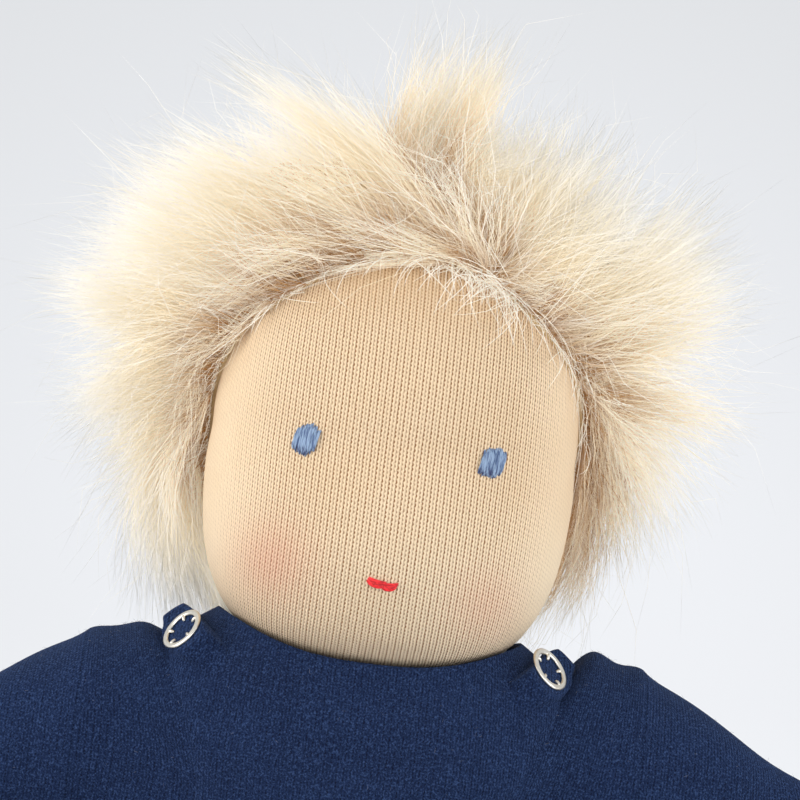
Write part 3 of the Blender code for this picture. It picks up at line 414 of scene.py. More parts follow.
def through(rows, places):
    """Values of a table at fractional row numbers, on the smooth curve through its rows (Catmull-Rom)."""
    rows = np.asarray(rows, float)
    padded = np.vstack([2 * rows[0] - rows[1], rows, 2 * rows[-1] - rows[-2]])
    low = np.clip(np.floor(places).astype(int), 0, len(rows) - 2)
    t = (np.asarray(places, float) - low)[:, None]
    a, b, c, d = (padded[low + k] for k in range(4))
    squares, cubes = 2 * a - 5 * b + 4 * c - d, 3 * b - a - 3 * c + d
    return 0.5 * (2 * b + (c - a) * t + squares * t ** 2 + cubes * t ** 3)


def signed_power(values, power):
    """|values| to a power, with the sign kept."""
    return np.sign(values) * np.abs(values) ** power


def unit(vectors):
    """Vectors of length 1."""
    return vectors / np.maximum(np.linalg.norm(vectors, axis=-1, keepdims=True), 1e-12)


def smoothstep(values, low, high):
    """0 below low, 1 above high, 3t^2 - 2t^3 between them."""
    t = np.clip((values - low) / (high - low), 0.0, 1.0)
    return t * t * (3.0 - 2.0 * t)


def grid_normals(points, closed):
    """Unit normals of a grid from the cross product of its two differences."""
    along = np.gradient(points, axis=0)
    if closed:
        across = (np.roll(points, -1, axis=1) - np.roll(points, 1, axis=1)) / 2
    else:
        across = np.gradient(points, axis=1)
    return unit(np.cross(across, along))


def outward_normals(points, closed, middle):
    """Unit normals of a grid, turned away from its middle."""
    normals = grid_normals(points, closed)
    return normals if ((points - middle) * normals).sum() > 0 else -normals


def row_lengths(points, closed):
    """Metres along each row up to each column, and back to its first column where the rows are closed."""
    wrapped = np.concatenate([points, points[:, :1]], axis=1) if closed else points
    steps = np.linalg.norm(np.diff(wrapped, axis=1), axis=2)
    return np.concatenate([np.zeros((len(points), 1)), np.cumsum(steps, axis=1)], axis=1)


def from_front(points):
    """Metres round each closed row, counted both ways from its first column."""
    across = row_lengths(points, True)
    return across - np.where(np.arange(across.shape[1]) > points.shape[1] // 2, across[:, -1:], 0.0)


def fill_mesh(name, points, parts, uv_parts=None):
    """A mesh from points and arrays of faces, each array with its own number of corners."""
    mesh = bpy.data.meshes.new(name)
    corners = np.concatenate([part.ravel() for part in parts]).astype(np.int32)
    sizes = np.concatenate([np.full(len(part), part.shape[1]) for part in parts])
    starts = np.concatenate([[0], np.cumsum(sizes)[:-1]]).astype(np.int32)
    mesh.vertices.add(len(points))
    mesh.vertices.foreach_set("co", np.ascontiguousarray(points, np.float32).ravel())
    mesh.loops.add(len(corners))
    mesh.loops.foreach_set("vertex_index", corners)
    mesh.polygons.add(len(sizes))
    mesh.polygons.foreach_set("loop_start", starts)
    if uv_parts is not None:
        layer = mesh.uv_layers.new(name="UVMap")
        layer.data.foreach_set("uv", np.concatenate([part.reshape(-1, 2) for part in uv_parts]).astype(
            np.float32).ravel())
    mesh.update(calc_edges=True)
    mesh.validate()
    mesh.shade_smooth()
    return mesh


def put_in_scene(name, data):
    """An object of a mesh, lamp or camera, linked into the scene."""
    thing = bpy.data.objects.new(name, data)
    bpy.context.scene.collection.objects.link(thing)
    return thing


def add_piece(name, mesh, material, body=None, replaces=()):
    """A mesh in the scene, riding on its body and standing for its nodes."""
    piece = put_in_scene(name, mesh)
    mesh.materials.append(material)
    if body:
        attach(piece, body)
    if replaces:
        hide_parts(*replaces)
    return piece


def grid_parts(points, closed=True, caps=(False, False), keep=None, uv=None):
    """Points, faces and UV of a grid of rows and columns, its faces turned outwards.

    closed joins the last column to the first, caps close the first and last rows to a point, keep is a mask
    of the faces to make, and uv gives metres across and along, worked out from the grid where it isn't given.
    """
    rows, columns = points.shape[:2]
    i, j = np.meshgrid(np.arange(rows - 1), np.arange(columns if closed else columns - 1), indexing="ij")
    low, high, after = i * columns, (i + 1) * columns, (j + 1) % columns
    quads = np.stack([low + j, low + after, high + after, high + j], -1)
    if uv is None:
        across = row_lengths(points, closed)
        across -= across[:, -1:] / 2
        wrapped = np.concatenate([points, points[:, :1]], axis=1) if closed else points
        steps = np.linalg.norm(np.diff(wrapped, axis=0), axis=2).mean(axis=1)
        along = np.concatenate([[0], np.cumsum(steps)])[:, None] * np.ones(across.shape)
        uv = np.stack([across, along], -1)
    corners = np.stack([uv[i, j], uv[i, j + 1], uv[i + 1, j + 1], uv[i + 1, j]], 2)
    mask = np.ones(i.shape, bool) if keep is None else keep
    quads = quads[mask]
    parts, uv_parts = [quads], [corners[mask]]
    flat = points.reshape(-1, 3)
    ring = np.arange(columns)
    for is_capped, row in zip(caps, (0, rows - 1)):
        if not is_capped:
            continue
        order = 1 if row else -1
        pair = (row * columns + ring, row * columns + (ring + 1) % columns)[::order]
        ends = (uv[row, :-1], uv[row, 1:])[::order]
        parts.append(np.stack([*pair, np.full(columns, len(flat))], -1))
        uv_parts.append(np.stack([*ends, uv[row].mean(axis=0) * np.ones((columns, 1))], 1))
        flat = np.vstack([flat, points[row].mean(axis=0)])
    a, b, c = (flat[quads[:, k]] for k in range(3))
    if (np.cross(b - a, c - a) * ((a + c) / 2 - flat.mean(axis=0))).sum() < 0:
        parts = [part[:, ::-1] for part in parts]
        uv_parts = [part[:, ::-1] for part in uv_parts]
    return flat, parts, uv_parts


def grid_piece(name, points, material, body=None, slot=None, replaces=(), **shape):
    """A piece of one grid, which shape describes."""
    return add_piece(name, fill_mesh(name, *grid_parts(points, **shape)), material, body, replaces)


def joined_piece(name, grids, material, body, replaces=()):
    """A piece of several capped tubes."""
    points, parts, uv_parts, count = [], [], [], 0
    for grid in grids:
        flat, faces, corners = grid_parts(grid, caps=(True, True))
        points.append(flat)
        parts += [part + count for part in faces]
        uv_parts += corners
        count += len(flat)
    mesh = fill_mesh(name, np.vstack(points), parts, uv_parts)
    return add_piece(name, mesh, material, body, replaces)


def solidify(piece, thickness):
    """Gives a sheet its thickness inwards."""
    wall = piece.modifiers.new("thickness", "SOLIDIFY")
    wall.thickness = thickness
    wall.offset = -1.0


def strand_mesh(name, paths, radii, tones, shades=None):
    """Closed three-sided strands. Ring k lies round paths[:, k], and the last station is the tip's point.

    The side of each strand is a fixed direction with its part along the tangent taken off, so none twists.
    """
    count, stations = paths.shape[:2]
    tangents = unit(np.gradient(paths, axis=1))
    chord = unit(paths[:, -1] - paths[:, 0])
    start = unit(np.cross(chord, np.roll(chord, 1, axis=1) + 0.31))[:, None]
    side = unit(start - (start * tangents).sum(-1, keepdims=True) * tangents)
    other = np.cross(tangents, side)
    rings = paths[:, :-1, None] + radii[:, :-1, None, None] * ring_ways(side[:, :-1], other[:, :-1], 3)
    each = 3 * (stations - 1) + 1
    points = np.concatenate([rings.reshape(count, -1, 3), paths[:, -1:]], axis=1).reshape(-1, 3)
    low = (np.arange(stations - 2)[:, None] * 3 + np.arange(3)).ravel()
    low_next = (np.arange(stations - 2)[:, None] * 3 + (np.arange(3) + 1) % 3).ravel()
    quads = np.stack([low, low_next, low_next + 3, low + 3], -1)
    last = (stations - 2) * 3
    tip = np.array([[last + k, last + (k + 1) % 3, each - 1] for k in range(3)] + [[2, 1, 0]])
    shifts = (np.arange(count) * each)[:, None, None]
    mesh = fill_mesh(name, points, [(quads + shifts).reshape(-1, 4), (tip + shifts).reshape(-1, 3)])
    reach = np.concatenate([np.repeat(np.arange(stations - 1), 3), [stations - 1]]) / (stations - 1)
    shades = np.zeros(count) if shades is None else shades
    for label, values in (("tone", np.repeat(tones, each)), ("reach", np.tile(reach, count)),
                          ("shade", np.repeat(shades, each))):
        mesh.attributes.new(label, "FLOAT", "POINT").data.foreach_set("value", values.astype(np.float32))
    return mesh


def tube_rows(centres, directions, radii, columns, flatten=1.0):
    """Rings round centres, level across each direction: centre + r (level cos a + up sin a)."""
    directions = np.broadcast_to(directions, centres.shape)
    level = np.cross(directions, (0.0, 0.0, 1.0))
    level = np.where(np.linalg.norm(level, axis=1, keepdims=True) < 1e-6, (1.0, 0.0, 0.0), level)
    level = unit(level)
    up = np.cross(level, directions) * np.reshape(flatten, (-1, 1))
    return centres[:, None] + radii[:, None, None] * ring_ways(level, up, columns)


# Head

def head_surface(places, turns):
    """Head skin: each row a rounded square of the profile's girth, with cheeks and an eye line in front.

    The profile's height share s gives z, its girth share the half width and depth, and the front moves out by
    cheeks exp(-((s + 0.42) / 0.25)^2) less the dip exp(-((s + 0.02) / 0.12)^2), both times cos^2 of the turn.
    """
    shares = through(HEAD_PROFILE_SHARES, places)
    height, girth = shares[:, :1], np.maximum(shares[:, 1:], 0.0)
    z = np.where(height > 0, height * HEAD_ABOVE_EYES, height * HEAD_BELOW_EYES) + EYE_HEIGHT
    power = 2.0 / HEAD_SQUARENESS
    x = girth * HEAD_HALF_WIDTH * signed_power(np.sin(turns), power)
    y = -girth * HEAD_HALF_DEPTH * signed_power(np.cos(turns), power)
    cheek = np.exp(-((height + 0.42) / 0.25) ** 2) * CHEEK_SWELL
    dip = np.exp(-((height + 0.02) / 0.12) ** 2) * EYE_LINE_DIP
    y = y - np.maximum(np.cos(turns), 0.0) ** 2 * (cheek - dip)
    return np.stack([x, y + MIDDLE_DEPTH, z + 0 * x], -1)


HEAD_ROWS, HEAD_COLUMNS = 120, 176
head_places = np.linspace(0.12, len(HEAD_PROFILE_SHARES) - 1, HEAD_ROWS)
head_turns = circle(HEAD_COLUMNS)
head_grid = head_surface(head_places, head_turns)
head_normals = outward_normals(head_grid, True, HEAD_CENTRE)


def face_point(across, height, lift=0.0):
    """Points on the front of the head skin at distances across and heights, raised by lift."""
    x, y, z = (head_grid[..., k] for k in range(3))
    front = y < MIDDLE_DEPTH
    spots, normals = head_grid[front], head_normals[front]
    wanted = np.stack([np.asarray(across, float).ravel(), np.asarray(height, float).ravel()], -1)
    gaps = ((spots[None, :, [0, 2]] - wanted[:, None]) ** 2).sum(-1)
    near = np.argsort(gaps, axis=1)[:, :6]
    weights = 1.0 / (np.take_along_axis(gaps, near, 1) + 1e-9)
    weights /= weights.sum(axis=1, keepdims=True)
    normal = unit((normals[near] * weights[..., None]).sum(1))
    depth = (spots[near][..., 1] * weights).sum(1)
    slope = (spots[near][..., [0, 2]] * weights[..., None]).sum(1) - wanted
    depth = depth + (slope * normal[:, [0, 2]]).sum(1) / normal[:, 1]
    point = np.stack([wanted[:, 0], depth, wanted[:, 1]], -1)
    return (point + normal * np.asarray(lift).reshape(-1, 1)).reshape(*np.shape(across), 3)


def build_head(material):
    """The tricot over the head, its wales upright and counted from the middle of the face."""
    across = from_front(head_grid)
    steps = np.linalg.norm(np.diff(head_grid, axis=0), axis=2).mean(axis=1)
    along = -np.concatenate([[0], np.cumsum(steps)])[:, None] * np.ones(across.shape)
    piece = grid_piece("head_skin_tricot", head_grid, material, "head", "tricot", ["head_skin"],
                       caps=(True, False), uv=np.stack([across, along], -1))
    solidify(piece, SKIN)


def stitch(points, radius, columns=10):
    """A thread along points, a little flat, its radius r (1 - 0.75 s^6) with s from -1 to 1 along it."""
    tangents = unit(np.gradient(points, axis=0))
    side = unit(np.cross(tangents, (0.0, 1.0, 0.0)))
    radii = radius * (1.0 - 0.75 * np.linspace(-1, 1, len(points)) ** 6)
    return points[:, None] + radii[:, None, None] * ring_ways(side, np.cross(tangents, side) * 0.8, columns)


def build_face(blue, red):
    """Eyes of upright satin stitches and a mouth of two lying ones, each of several plies."""
    for side, sign in SIDES:
        grids = []
        stitches = 6
        for k in range(stitches):
            cross = 2.0 * (k + 0.5) / stitches - 1.0
            uneven = 1.0 + 0.07 * math.sin(5.0 * k + sign)
            half = EYE_LENGTH / 2 * math.sqrt(1.0 - 0.62 * cross ** 2) * uneven
            t = np.linspace(-1, 1, 15)
            middle = sign * EYE_SPACING / 2 + cross * EYE_WIDTH / 2 * 0.86 + 0.00050 * t
            for ply in (-1.0, 1.0):
                across = middle + ply * (0.00021 + 0.00003 * np.sin(9.0 * t + k))
                lift = 0.00080 * (1.0 - t ** 4) - 0.00020 + 0.00016 * math.sin(2.3 * k + ply)
                grids.append(stitch(face_point(across, EYE_HEIGHT + t * half, lift), 0.00030))
        joined_piece(f"eye_stitches_{side}", grids, blue, "head", [f"eye_{side}"])
    height = EYE_HEIGHT - MOUTH_DROP + 0.0004
    ends = (((-0.0034, 0.0007), (0.0006, 0.0000)), ((-0.0003, -0.0002), (0.0031, 0.0001)))
    grids = []
    for (x0, z0), (x1, z1) in ends:
        for ply in (-1.0, -0.33, 0.33, 1.0):
            t = np.linspace(0, 1, 13)
            across = x0 + (x1 - x0) * t + 0.00016 * ply
            swell = 1.0 - 0.45 * (2 * t - 1) ** 2
            up = z0 + (z1 - z0) * t + ply * 0.00058 * swell - 0.0003 * np.sin(math.pi * t)
            lift = 0.00085 * (1.0 - (2 * t - 1) ** 4) - 0.0002 + 0.0001 * math.sin(4.0 * ply)
            grids.append(stitch(face_point(across, height + up, lift), 0.00029))
    joined_piece("mouth_stitches", grids, red, "head", ["mouth"])


# Fur

def edge_height(turns):
    """Height of the wig's edge at angles from the front, from its table."""
    degrees = np.degrees(np.abs((turns + math.pi) % TURN - math.pi))
    table = np.array(WIG_EDGE_SHARES)
    return EYE_HEIGHT + np.interp(degrees, table[:, 0], table[:, 1]) * WIG_EDGE_ABOVE_EYES


WHORL = HEAD_CENTRE + np.array((0.014, -0.022, 0.041))
LEFT_TEMPLE = np.array((0.034, -0.014, 0.022))
SILHOUETTE = (
    (-180.0, 0.0740), (-164.0, 0.0700), (-143.0, 0.0690), (-125.0, 0.0620), (-100.0, 0.0560), (-60.0, 0.0560),
    (-42.0, 0.0640), (-28.0, 0.0690), (-9.0, 0.0740), (8.0, 0.0810), (20.0, 0.0860), (43.0, 0.0850),
    (60.0, 0.0840), (70.0, 0.0800), (78.0, 0.0740), (89.0, 0.0780), (99.0, 0.0720), (108.0, 0.0850),
    (123.0, 0.0925), (138.0, 0.0880), (155.0, 0.0850), (168.0, 0.0810), (180.0, 0.0750),
)


def fur_reach(directions):
    """Distance of the fur's outside from the head's centre: a table of the angle seen from the front."""
    table = np.array(SILHOUETTE)
    angle = np.degrees(np.arctan2(directions[:, 2], directions[:, 0]))
    flat = np.interp(angle, table[:, 0], table[:, 1])
    facing = np.clip(np.abs(directions[:, 1]), 0.0, 1.0)
    return flat * (1.0 - facing ** 2) + 0.0700 * facing ** 2


def scalp_points(count, random, low_edge=0.0, high_edge=1.0):
    """Random points on the head inside the wig's edge, with their normals, spread evenly over its area."""
    rows, columns = head_grid.shape[:2]
    middle = (head_grid[:-1] + head_grid[1:]) / 2
    size = np.linalg.norm(np.diff(head_grid, axis=0), axis=2) * np.linalg.norm(
        np.roll(middle, -1, axis=1) - middle, axis=2)
    above = middle[..., 2] - edge_height(head_turns)[None]
    size = np.where((above > low_edge) & (above < high_edge), size, 0.0).ravel()
    picked = np.searchsorted(np.cumsum(size) / size.sum(), random.random(count))
    i, j = np.divmod(picked, columns)
    t, s = random.random((count, 1)), random.random((count, 1))
    after = (j + 1) % columns
    low = head_grid[i, j] * (1 - s) + head_grid[i, after] * s
    high = head_grid[i + 1, j] * (1 - s) + head_grid[i + 1, after] * s
    return low * (1 - t) + high * t, head_normals[i, j]


def in_parts(rows):
    """Rows in parts of a size that is quick to work on."""
    return [rows[start:start + ROOTS_AT_ONCE] for start in range(0, len(rows), ROOTS_AT_ONCE)]


def skin_reach(rays):
    """Distance of the head skin from the head's centre along unit rays, from the nearest of its points."""
    coarse = head_grid[::2, ::3].reshape(-1, 3) - HEAD_CENTRE
    reach = np.linalg.norm(coarse, axis=1)
    ways = (coarse / reach[:, None]).T
    return np.concatenate([reach[(part @ ways).argmax(axis=1)] for part in in_parts(rays)])


def off_skin(paths, least):
    """Points moved outwards until they are at least so far off the head skin."""
    flat = paths.reshape(-1, 3) - HEAD_CENTRE
    distance = np.linalg.norm(flat, axis=1)
    lift = np.broadcast_to(least, paths.shape[:2]).ravel()
    factor = np.maximum((skin_reach(unit(flat)) + lift) / distance, 1.0)
    return (HEAD_CENTRE + flat * factor[:, None]).reshape(paths.shape)


def groom(roots, normals, random, length_share, spread):
    """Where strands end: out to the silhouette, in three groups that part at the whorl, with their painted
    shade.

    At the doll's right of the whorl the front hair sweeps up and outwards, behind it a tuft stands up, and to
    its left the hair fans out. Between the sweep and the tuft is a crease of shorter hair, painted in shade.
    """
    local = roots - HEAD_CENTRE
    x, y, z = local[:, 0:1], local[:, 1:2], local[:, 2:3]
    outward = unit(local)
    away = roots - WHORL
    near = np.exp(-(np.linalg.norm(away, axis=1, keepdims=True) / 0.030) ** 2)
    away = unit(away - (away * normals).sum(1, keepdims=True) * normals)
    back = smoothstep(y, -0.006, 0.020)
    pull = outward + away * (0.22 + 0.45 * near + 0.50 * back) + near * np.array((0.0, 0.0, 0.30))
    fan = smoothstep(x, 0.012, 0.022) * smoothstep(z, 0.010, 0.026) * (1.0 - back)
    pull = pull + fan * np.array((-0.10, 0.0, 0.40)) * random.random(x.shape)
    border = -0.0145 + 0.0010 * np.sin(x * 700.0) + random.normal(0.0, 0.0006, x.shape)
    sweep = (y < border) * smoothstep(-x, -0.0175, -0.0100)
    sweep = sweep * np.exp(-(np.maximum(-x - 0.014, 0.0) / 0.022) ** 2) * smoothstep(z, 0.016, 0.030)
    pull = pull * (1.0 - sweep) + sweep * (outward * (1.0, 0.55, 1.0) + np.array((-0.60, -0.06, 0.08)))
    tuft = (y >= border) * np.exp(-(np.maximum(np.abs(x + 0.004) - 0.006, 0.0) / 0.008) ** 2) * (z > 0.028)
    tuft = tuft * np.exp(-(np.maximum(y - 0.004, 0.0) / 0.012) ** 2)
    pull = pull * (1.0 - tuft) + tuft * (np.array((0.11, -0.12, 1.0)) + 0.20 * outward * (1.0, 0.2, 0.0))
    low = smoothstep(-z, -0.02, 0.03)
    pull = pull + low * np.array((0.0, 0.05, -0.40))
    # In front the hair stands in the plane of the face
    pull[:, 1:2] *= 1.0 - 0.62 * smoothstep(-y, -0.012, 0.012) * (1.0 - sweep)
    heading = unit(pull + random.normal(0.0, spread, roots.shape) * (1.0 - 0.45 * tuft))
    crease = np.exp(-((y - border - 0.0028) / 0.0043) ** 2) * smoothstep(-x, -0.018, -0.006) * (z > 0.022)
    crease = crease * np.exp(-(np.maximum(-x - 0.012, 0.0) / 0.016) ** 2)
    top = np.exp(-((x + 0.002) / 0.008) ** 2) * tuft
    reach = fur_reach(heading)[:, None] + top * 0.018
    length = (reach - 0.040) * length_share * (1.0 - 0.56 * crease)
    # Painted shade: strands in the crease, low on the +X side beside the face, in the tuft, and a little at
    # the front of the -X side
    right = smoothstep(x, 0.026, 0.035) * smoothstep(-z, -0.018, 0.0)
    shade = 1.2 * crease + 1.5 * right * (0.55 + 0.45 * random.random(x.shape)) + 0.36 * tuft
    shade = shade + 0.08 * smoothstep(-x, 0.026, 0.036) * (y < 0.0) * random.random(x.shape)
    return HEAD_CENTRE + heading * (0.040 + length), near, shade[:, 0].clip(0.0, 1.3)


def fur_paths(roots, normals, tips, stations, random, rise, frizz, bow=0.0):
    """Curved strands from roots to tips: a quadratic curve that starts along the normal, with a slow wave.

    bow is a sideways bend shared by the strands of a lock.
    """
    roots = roots + normals * ROOT_LIFT
    t = np.linspace(0.0, 1.0, stations)[None, :, None]
    length = np.linalg.norm(tips - roots, axis=1)[:, None, None]
    lead = roots[:, None] + normals[:, None] * length * rise
    paths = roots[:, None] * (1 - t) ** 2 + lead * 2 * t * (1 - t) + tips[:, None] * t ** 2
    phase = random.random((len(roots), 1, 3)) * TURN
    speed = random.uniform(0.7, 1.7, (len(roots), 1, 3))
    wave = np.sin(phase + t * speed * TURN) - np.sin(phase)
    paths = paths + wave * t * frizz + np.sin(t * 2.6) * bow
    # The highest hairs bend over
    above = np.maximum(paths[..., 2] - TOP_HEIGHT, 0.0)
    paths[..., 2] += 0.008 * (1.0 - np.exp(-above / 0.008)) - above
    return off_skin(paths, 0.0010 + 0.0020 * t[..., 0])


def clumped(roots, tips, random, clumps, strength, stray, stretch):
    """Tips drawn towards the tip of the clump that each root belongs to, the nearest of some chosen roots.

    Each clump strays and stretches as one, and has a number of its own from 0 to 1 and a bend of its own.
    """
    chosen = random.choice(len(roots), clumps, replace=False)
    nearest = [((part[:, None] - roots[chosen]) ** 2).sum(-1).argmin(axis=1) for part in in_parts(roots)]
    owner = np.concatenate(nearest)
    hold = random.uniform(0.4, 1.0, clumps)[owner][:, None] * strength
    sway = random.normal(0.0, stray, (clumps, 3))[owner]
    drawn = tips * (1 - hold) + tips[chosen][owner] * hold + sway
    longer = random.normal(0.0, stretch, clumps).clip(-2 * stretch, 1.4 * stretch)[owner][:, None]
    bend = random.normal(0.0, stray * 0.8, (clumps, 3))[owner]
    return drawn + (drawn - roots) * longer, owner, random.random(clumps)[owner], bend


def build_fur(fur):
    """Three layers of strands that are drawn into locks, and guard hairs that stray from them.

    A layer's row holds its name, parts, strands in a part, stations, length and how much it varies, radius,
    rise, frizz, spread, and the heights over the wig's edge that its roots keep between.
    """
    random = np.random.default_rng(7)
    layers = (
        ("fur_under", 3, 4400, 5, 0.68, 0.26, 0.000140, 0.24, 0.0009, 0.20, (0.0, 1.0)),
        ("fur_main", 6, 5100, 6, 1.05, 0.34, 0.000087, 0.22, 0.0024, 0.11, (0.0, 1.0)),
        ("fur_rim", 2, 3200, 5, 0.40, 0.70, 0.000068, 0.36, 0.0016, 0.24, (-0.0007, 0.0040)),
    )
    for name, parts, count, stations, share, vary, radius, rise, frizz, spread, edges in layers:
        total = parts * count
        roots, normals = scalp_points(total, random, *edges)
        lengths = share * (1.0 - vary * random.random((total, 1)) ** 2)
        tips, near, shades = groom(roots, normals, random, lengths, spread)
        tips, owner, small_mood, _ = clumped(roots, tips, random, 520, 0.62, 0.0019, 0.05)
        tips, _, lock_mood, bow = clumped(roots, tips, random, 130, 0.28, 0.0034, 0.05)
        rises = rise * (1.0 - 0.5 * near)[..., None]
        paths = fur_paths(roots, normals, tips, stations, random, rises, frizz, bow[:, None] * 0.9)
        taper = np.linspace(1.0, 0.30, stations)[None] ** 0.8
        radii = radius * random.uniform(0.7, 1.25, (total, 1)) * taper
        tones = 0.8 * random.random(total) ** 4 + 0.25 * (small_mood > 0.80)
        # Each lock adds a random amount to the strands' painted shade
        shades = (shades + 0.60 * (1.0 - small_mood) ** 3 + 0.16 * lock_mood ** 2).clip(0.0, 1.5)
        order = np.argsort(owner, kind="stable")
        for part in range(parts):
            chosen = order[part * count:(part + 1) * count]
            mesh = strand_mesh(f"{name}_{part}", paths[chosen], radii[chosen], tones[chosen], shades[chosen])
            add_piece(f"{name}_{part}", mesh, fur, "head", ["wig_pile"])
    # Long pale guard hairs that stray from the locks
    total = 3600
    roots, normals = scalp_points(total, random)
    lengths = 0.94 + 0.18 * random.normal(0.0, 1.0, (total, 1)).clip(-1.8, 1.0)
    tips, near, _ = groom(roots, normals, random, lengths, 0.24)
    paths = fur_paths(roots, normals, tips, 7, random, 0.30, 0.0060)
    radii = random.uniform(0.00007, 0.00011, (total, 1)) * np.linspace(1.0, 0.3, 7)[None]
    mesh = strand_mesh("fur_guard", paths, radii, 0.6 + 0.4 * random.random(total))
    add_piece("fur_guard", mesh, fur, "head", ["wig_pile"])
    build_wisps(fur)


def build_wisps(material):
    """Loose hairs along the hairline: a fringe of short fine ones, and long pale ones at the whorl.

    A kind's row holds its name, count, how crowded it is far from the whorl, the crowd's width, lengths, how
    widely it turns from hanging down, radii and tone.
    """
    random = np.random.default_rng(19)
    kinds = (
        ("hairline_fringe", 1300, 1.0, 9.0, (0.0012, 0.0050), 1.5, (0.00005, 0.00008), 0.45),
        ("hairline_wisps", 330, 0.05, 0.0125, (0.0060, 0.0230), 1.0, (0.00009, 0.00014), 1.0),
    )
    for name, count, floor, width, span, turn_spread, thick, tone in kinds:
        roots, normals = scalp_points(count * 12, random, -0.0008, 0.0022)
        crowd = floor + (1.0 - floor) * np.exp(-(np.linalg.norm(roots - WHORL, axis=1) / width) ** 2)
        beside = np.linalg.norm(roots - HEAD_CENTRE - LEFT_TEMPLE, axis=1)
        crowd = crowd + 0.22 * np.exp(-(beside / 0.013) ** 2)
        crowd = np.where(roots[:, 1] < MIDDLE_DEPTH + 0.012, crowd, 0.15 * floor)
        chosen = np.flatnonzero(random.random(len(roots)) < crowd)[:count]
        roots, normals = roots[chosen], normals[chosen]
        total = len(roots)
        down = unit(np.array((-0.25, 0.0, -1.0)) + normals * normals[:, 2:3])
        across = np.cross(normals, down)
        turn = random.normal(0.0, turn_spread, (total, 1))
        way = down * np.cos(turn) + across * np.sin(turn)
        length = random.uniform(*span, (total, 1)) * random.uniform(0.35, 1.0, (total, 1))
        t = np.linspace(0.0, 1.0, 8)[None, :, None]
        bend = np.cross(normals, way) * random.normal(0.0, 0.40, (total, 1)) * length
        lift = normals * random.uniform(0.0002, 0.22, (total, 1)) * length
        paths = roots[:, None] + normals[:, None] * ROOT_LIFT + (way * length)[:, None] * t + (
            bend[:, None] * t ** 2 + lift[:, None] * np.sin(t * 2.6))
        paths = off_skin(paths, 0.0003)
        radii = random.uniform(*thick, (total, 1)) * np.linspace(1.0, 0.4, 8)[None]
        mesh = strand_mesh(name, paths, radii, tone * (0.6 + 0.4 * random.random(total)))
        mesh.attributes["reach"].data.foreach_set("value", np.full(len(mesh.vertices), 0.7, np.float32))
        add_piece(name, mesh, material, "head", ["wig_pile"])


def build_under_pile(material):
    """The dense wool under the fur: the scalp moved out along its normals, thin at the edge and lumpy."""
    steps, columns, levels = 60, 96, 600
    turns = circle(columns)
    fine = head_surface(np.linspace(0.02, len(HEAD_PROFILE_SHARES) - 1, levels), turns)
    last = (fine[..., 2] > edge_height(turns)[None]).sum(axis=0).clip(2, levels - 1)
    share = np.linspace(0.0, 1.0, steps)[:, None]
    index = (share * last[None]).astype(int).clip(0, levels - 1)
    rows = fine[index, np.arange(columns)[None]]
    away = unit(rows - HEAD_CENTRE)
    x, y, z = np.moveaxis(rows, -1, 0)
    lumps = 1.0 + 0.10 * np.sin(x * 700 + 2 * np.sin(z * 500)) * np.sin(y * 620)
    valley = 1.0 - 0.90 * np.exp(-(np.linalg.norm(rows - WHORL, axis=2) / 0.024) ** 2)
    reach = fur_reach(away.reshape(-1, 3)).reshape(away.shape[:2]) - 0.040
    depth = 0.0007 + 0.40 * reach * valley * lumps * (1.0 - share ** 2.2) ** 1.3
    outer = rows + away * depth[..., None]
    inner = rows - away * 0.0003
    grid_piece("fur_under_wool", np.concatenate([outer, inner[::-1]], axis=0), material, "head", "fur",
               ["wig_pile", "wig_backing"], caps=(True, True))


# Garment

def level_points(levels, turns):
    """Points of rounded rectangles from their half width, half depth, side height and middle height.

    x and y are the halves times the sine and cosine of the turn to the signed power 2 / squareness, and z
    lies between the middle and the side height by sin^2.
    """
    wide, deep, side, middle = levels
    power = 2.0 / TORSO_SQUARENESS
    x = wide * TORSO_HALF_WIDTH * signed_power(np.sin(turns), power)
    y = TORSO_SHIFT + MIDDLE_DEPTH - deep * TORSO_HALF_DEPTH * signed_power(np.cos(turns), power)
    z = TORSO_HEIGHT * (middle + (side - middle) * np.sin(turns) ** 2)
    return np.stack([x, y, z + 0 * x], -1)


def torso_surface(places, turns):
    """The romper at fractional rows of its table, on the smooth curve through them."""
    return level_points([column[:, None] for column in through(ROMPER_LEVEL_SHARES, places).T], turns)


def strap_points(turns, rows):
    """Points of the romper between the straight rows of its table, for the tab that lies along it."""
    table = np.array(ROMPER_LEVEL_SHARES)
    low = np.clip(np.floor(rows).astype(int), 0, len(table) - 2)
    share = (rows - low)[..., None]
    return level_points(np.moveaxis(table[low] * (1 - share) + table[low + 1] * share, -1, 0), turns)


def soft_folds(points, centre, ways, width, depth, reach):
    """Depth of folds that leave a centre in some ways: a ridge across each way that fades with distance."""
    away = points - centre
    distance = np.linalg.norm(away, axis=-1)
    total = np.zeros(distance.shape)
    for way in ways:
        way = unit(np.array(way, float))
        along = (away * way).sum(-1)
        across = np.sqrt(np.maximum(distance ** 2 - along ** 2, 0.0))
        fade = smoothstep(along, 0.002, 0.008) * np.exp(-(along / reach) ** 2)
        total += np.exp(-(across / width) ** 2) * fade
    return total * depth


def flat_uv(points, reference):
    """Metres round each row of a tube of cloth from the front, and up each column from a reference row."""
    across = from_front(points)
    steps = np.linalg.norm(np.diff(np.concatenate([points, points[:, :1]], axis=1), axis=0), axis=2)
    along = -np.concatenate([np.zeros((1, across.shape[1])), np.cumsum(steps, axis=0)], axis=0)
    return np.stack([across, along - along[reference]], -1)


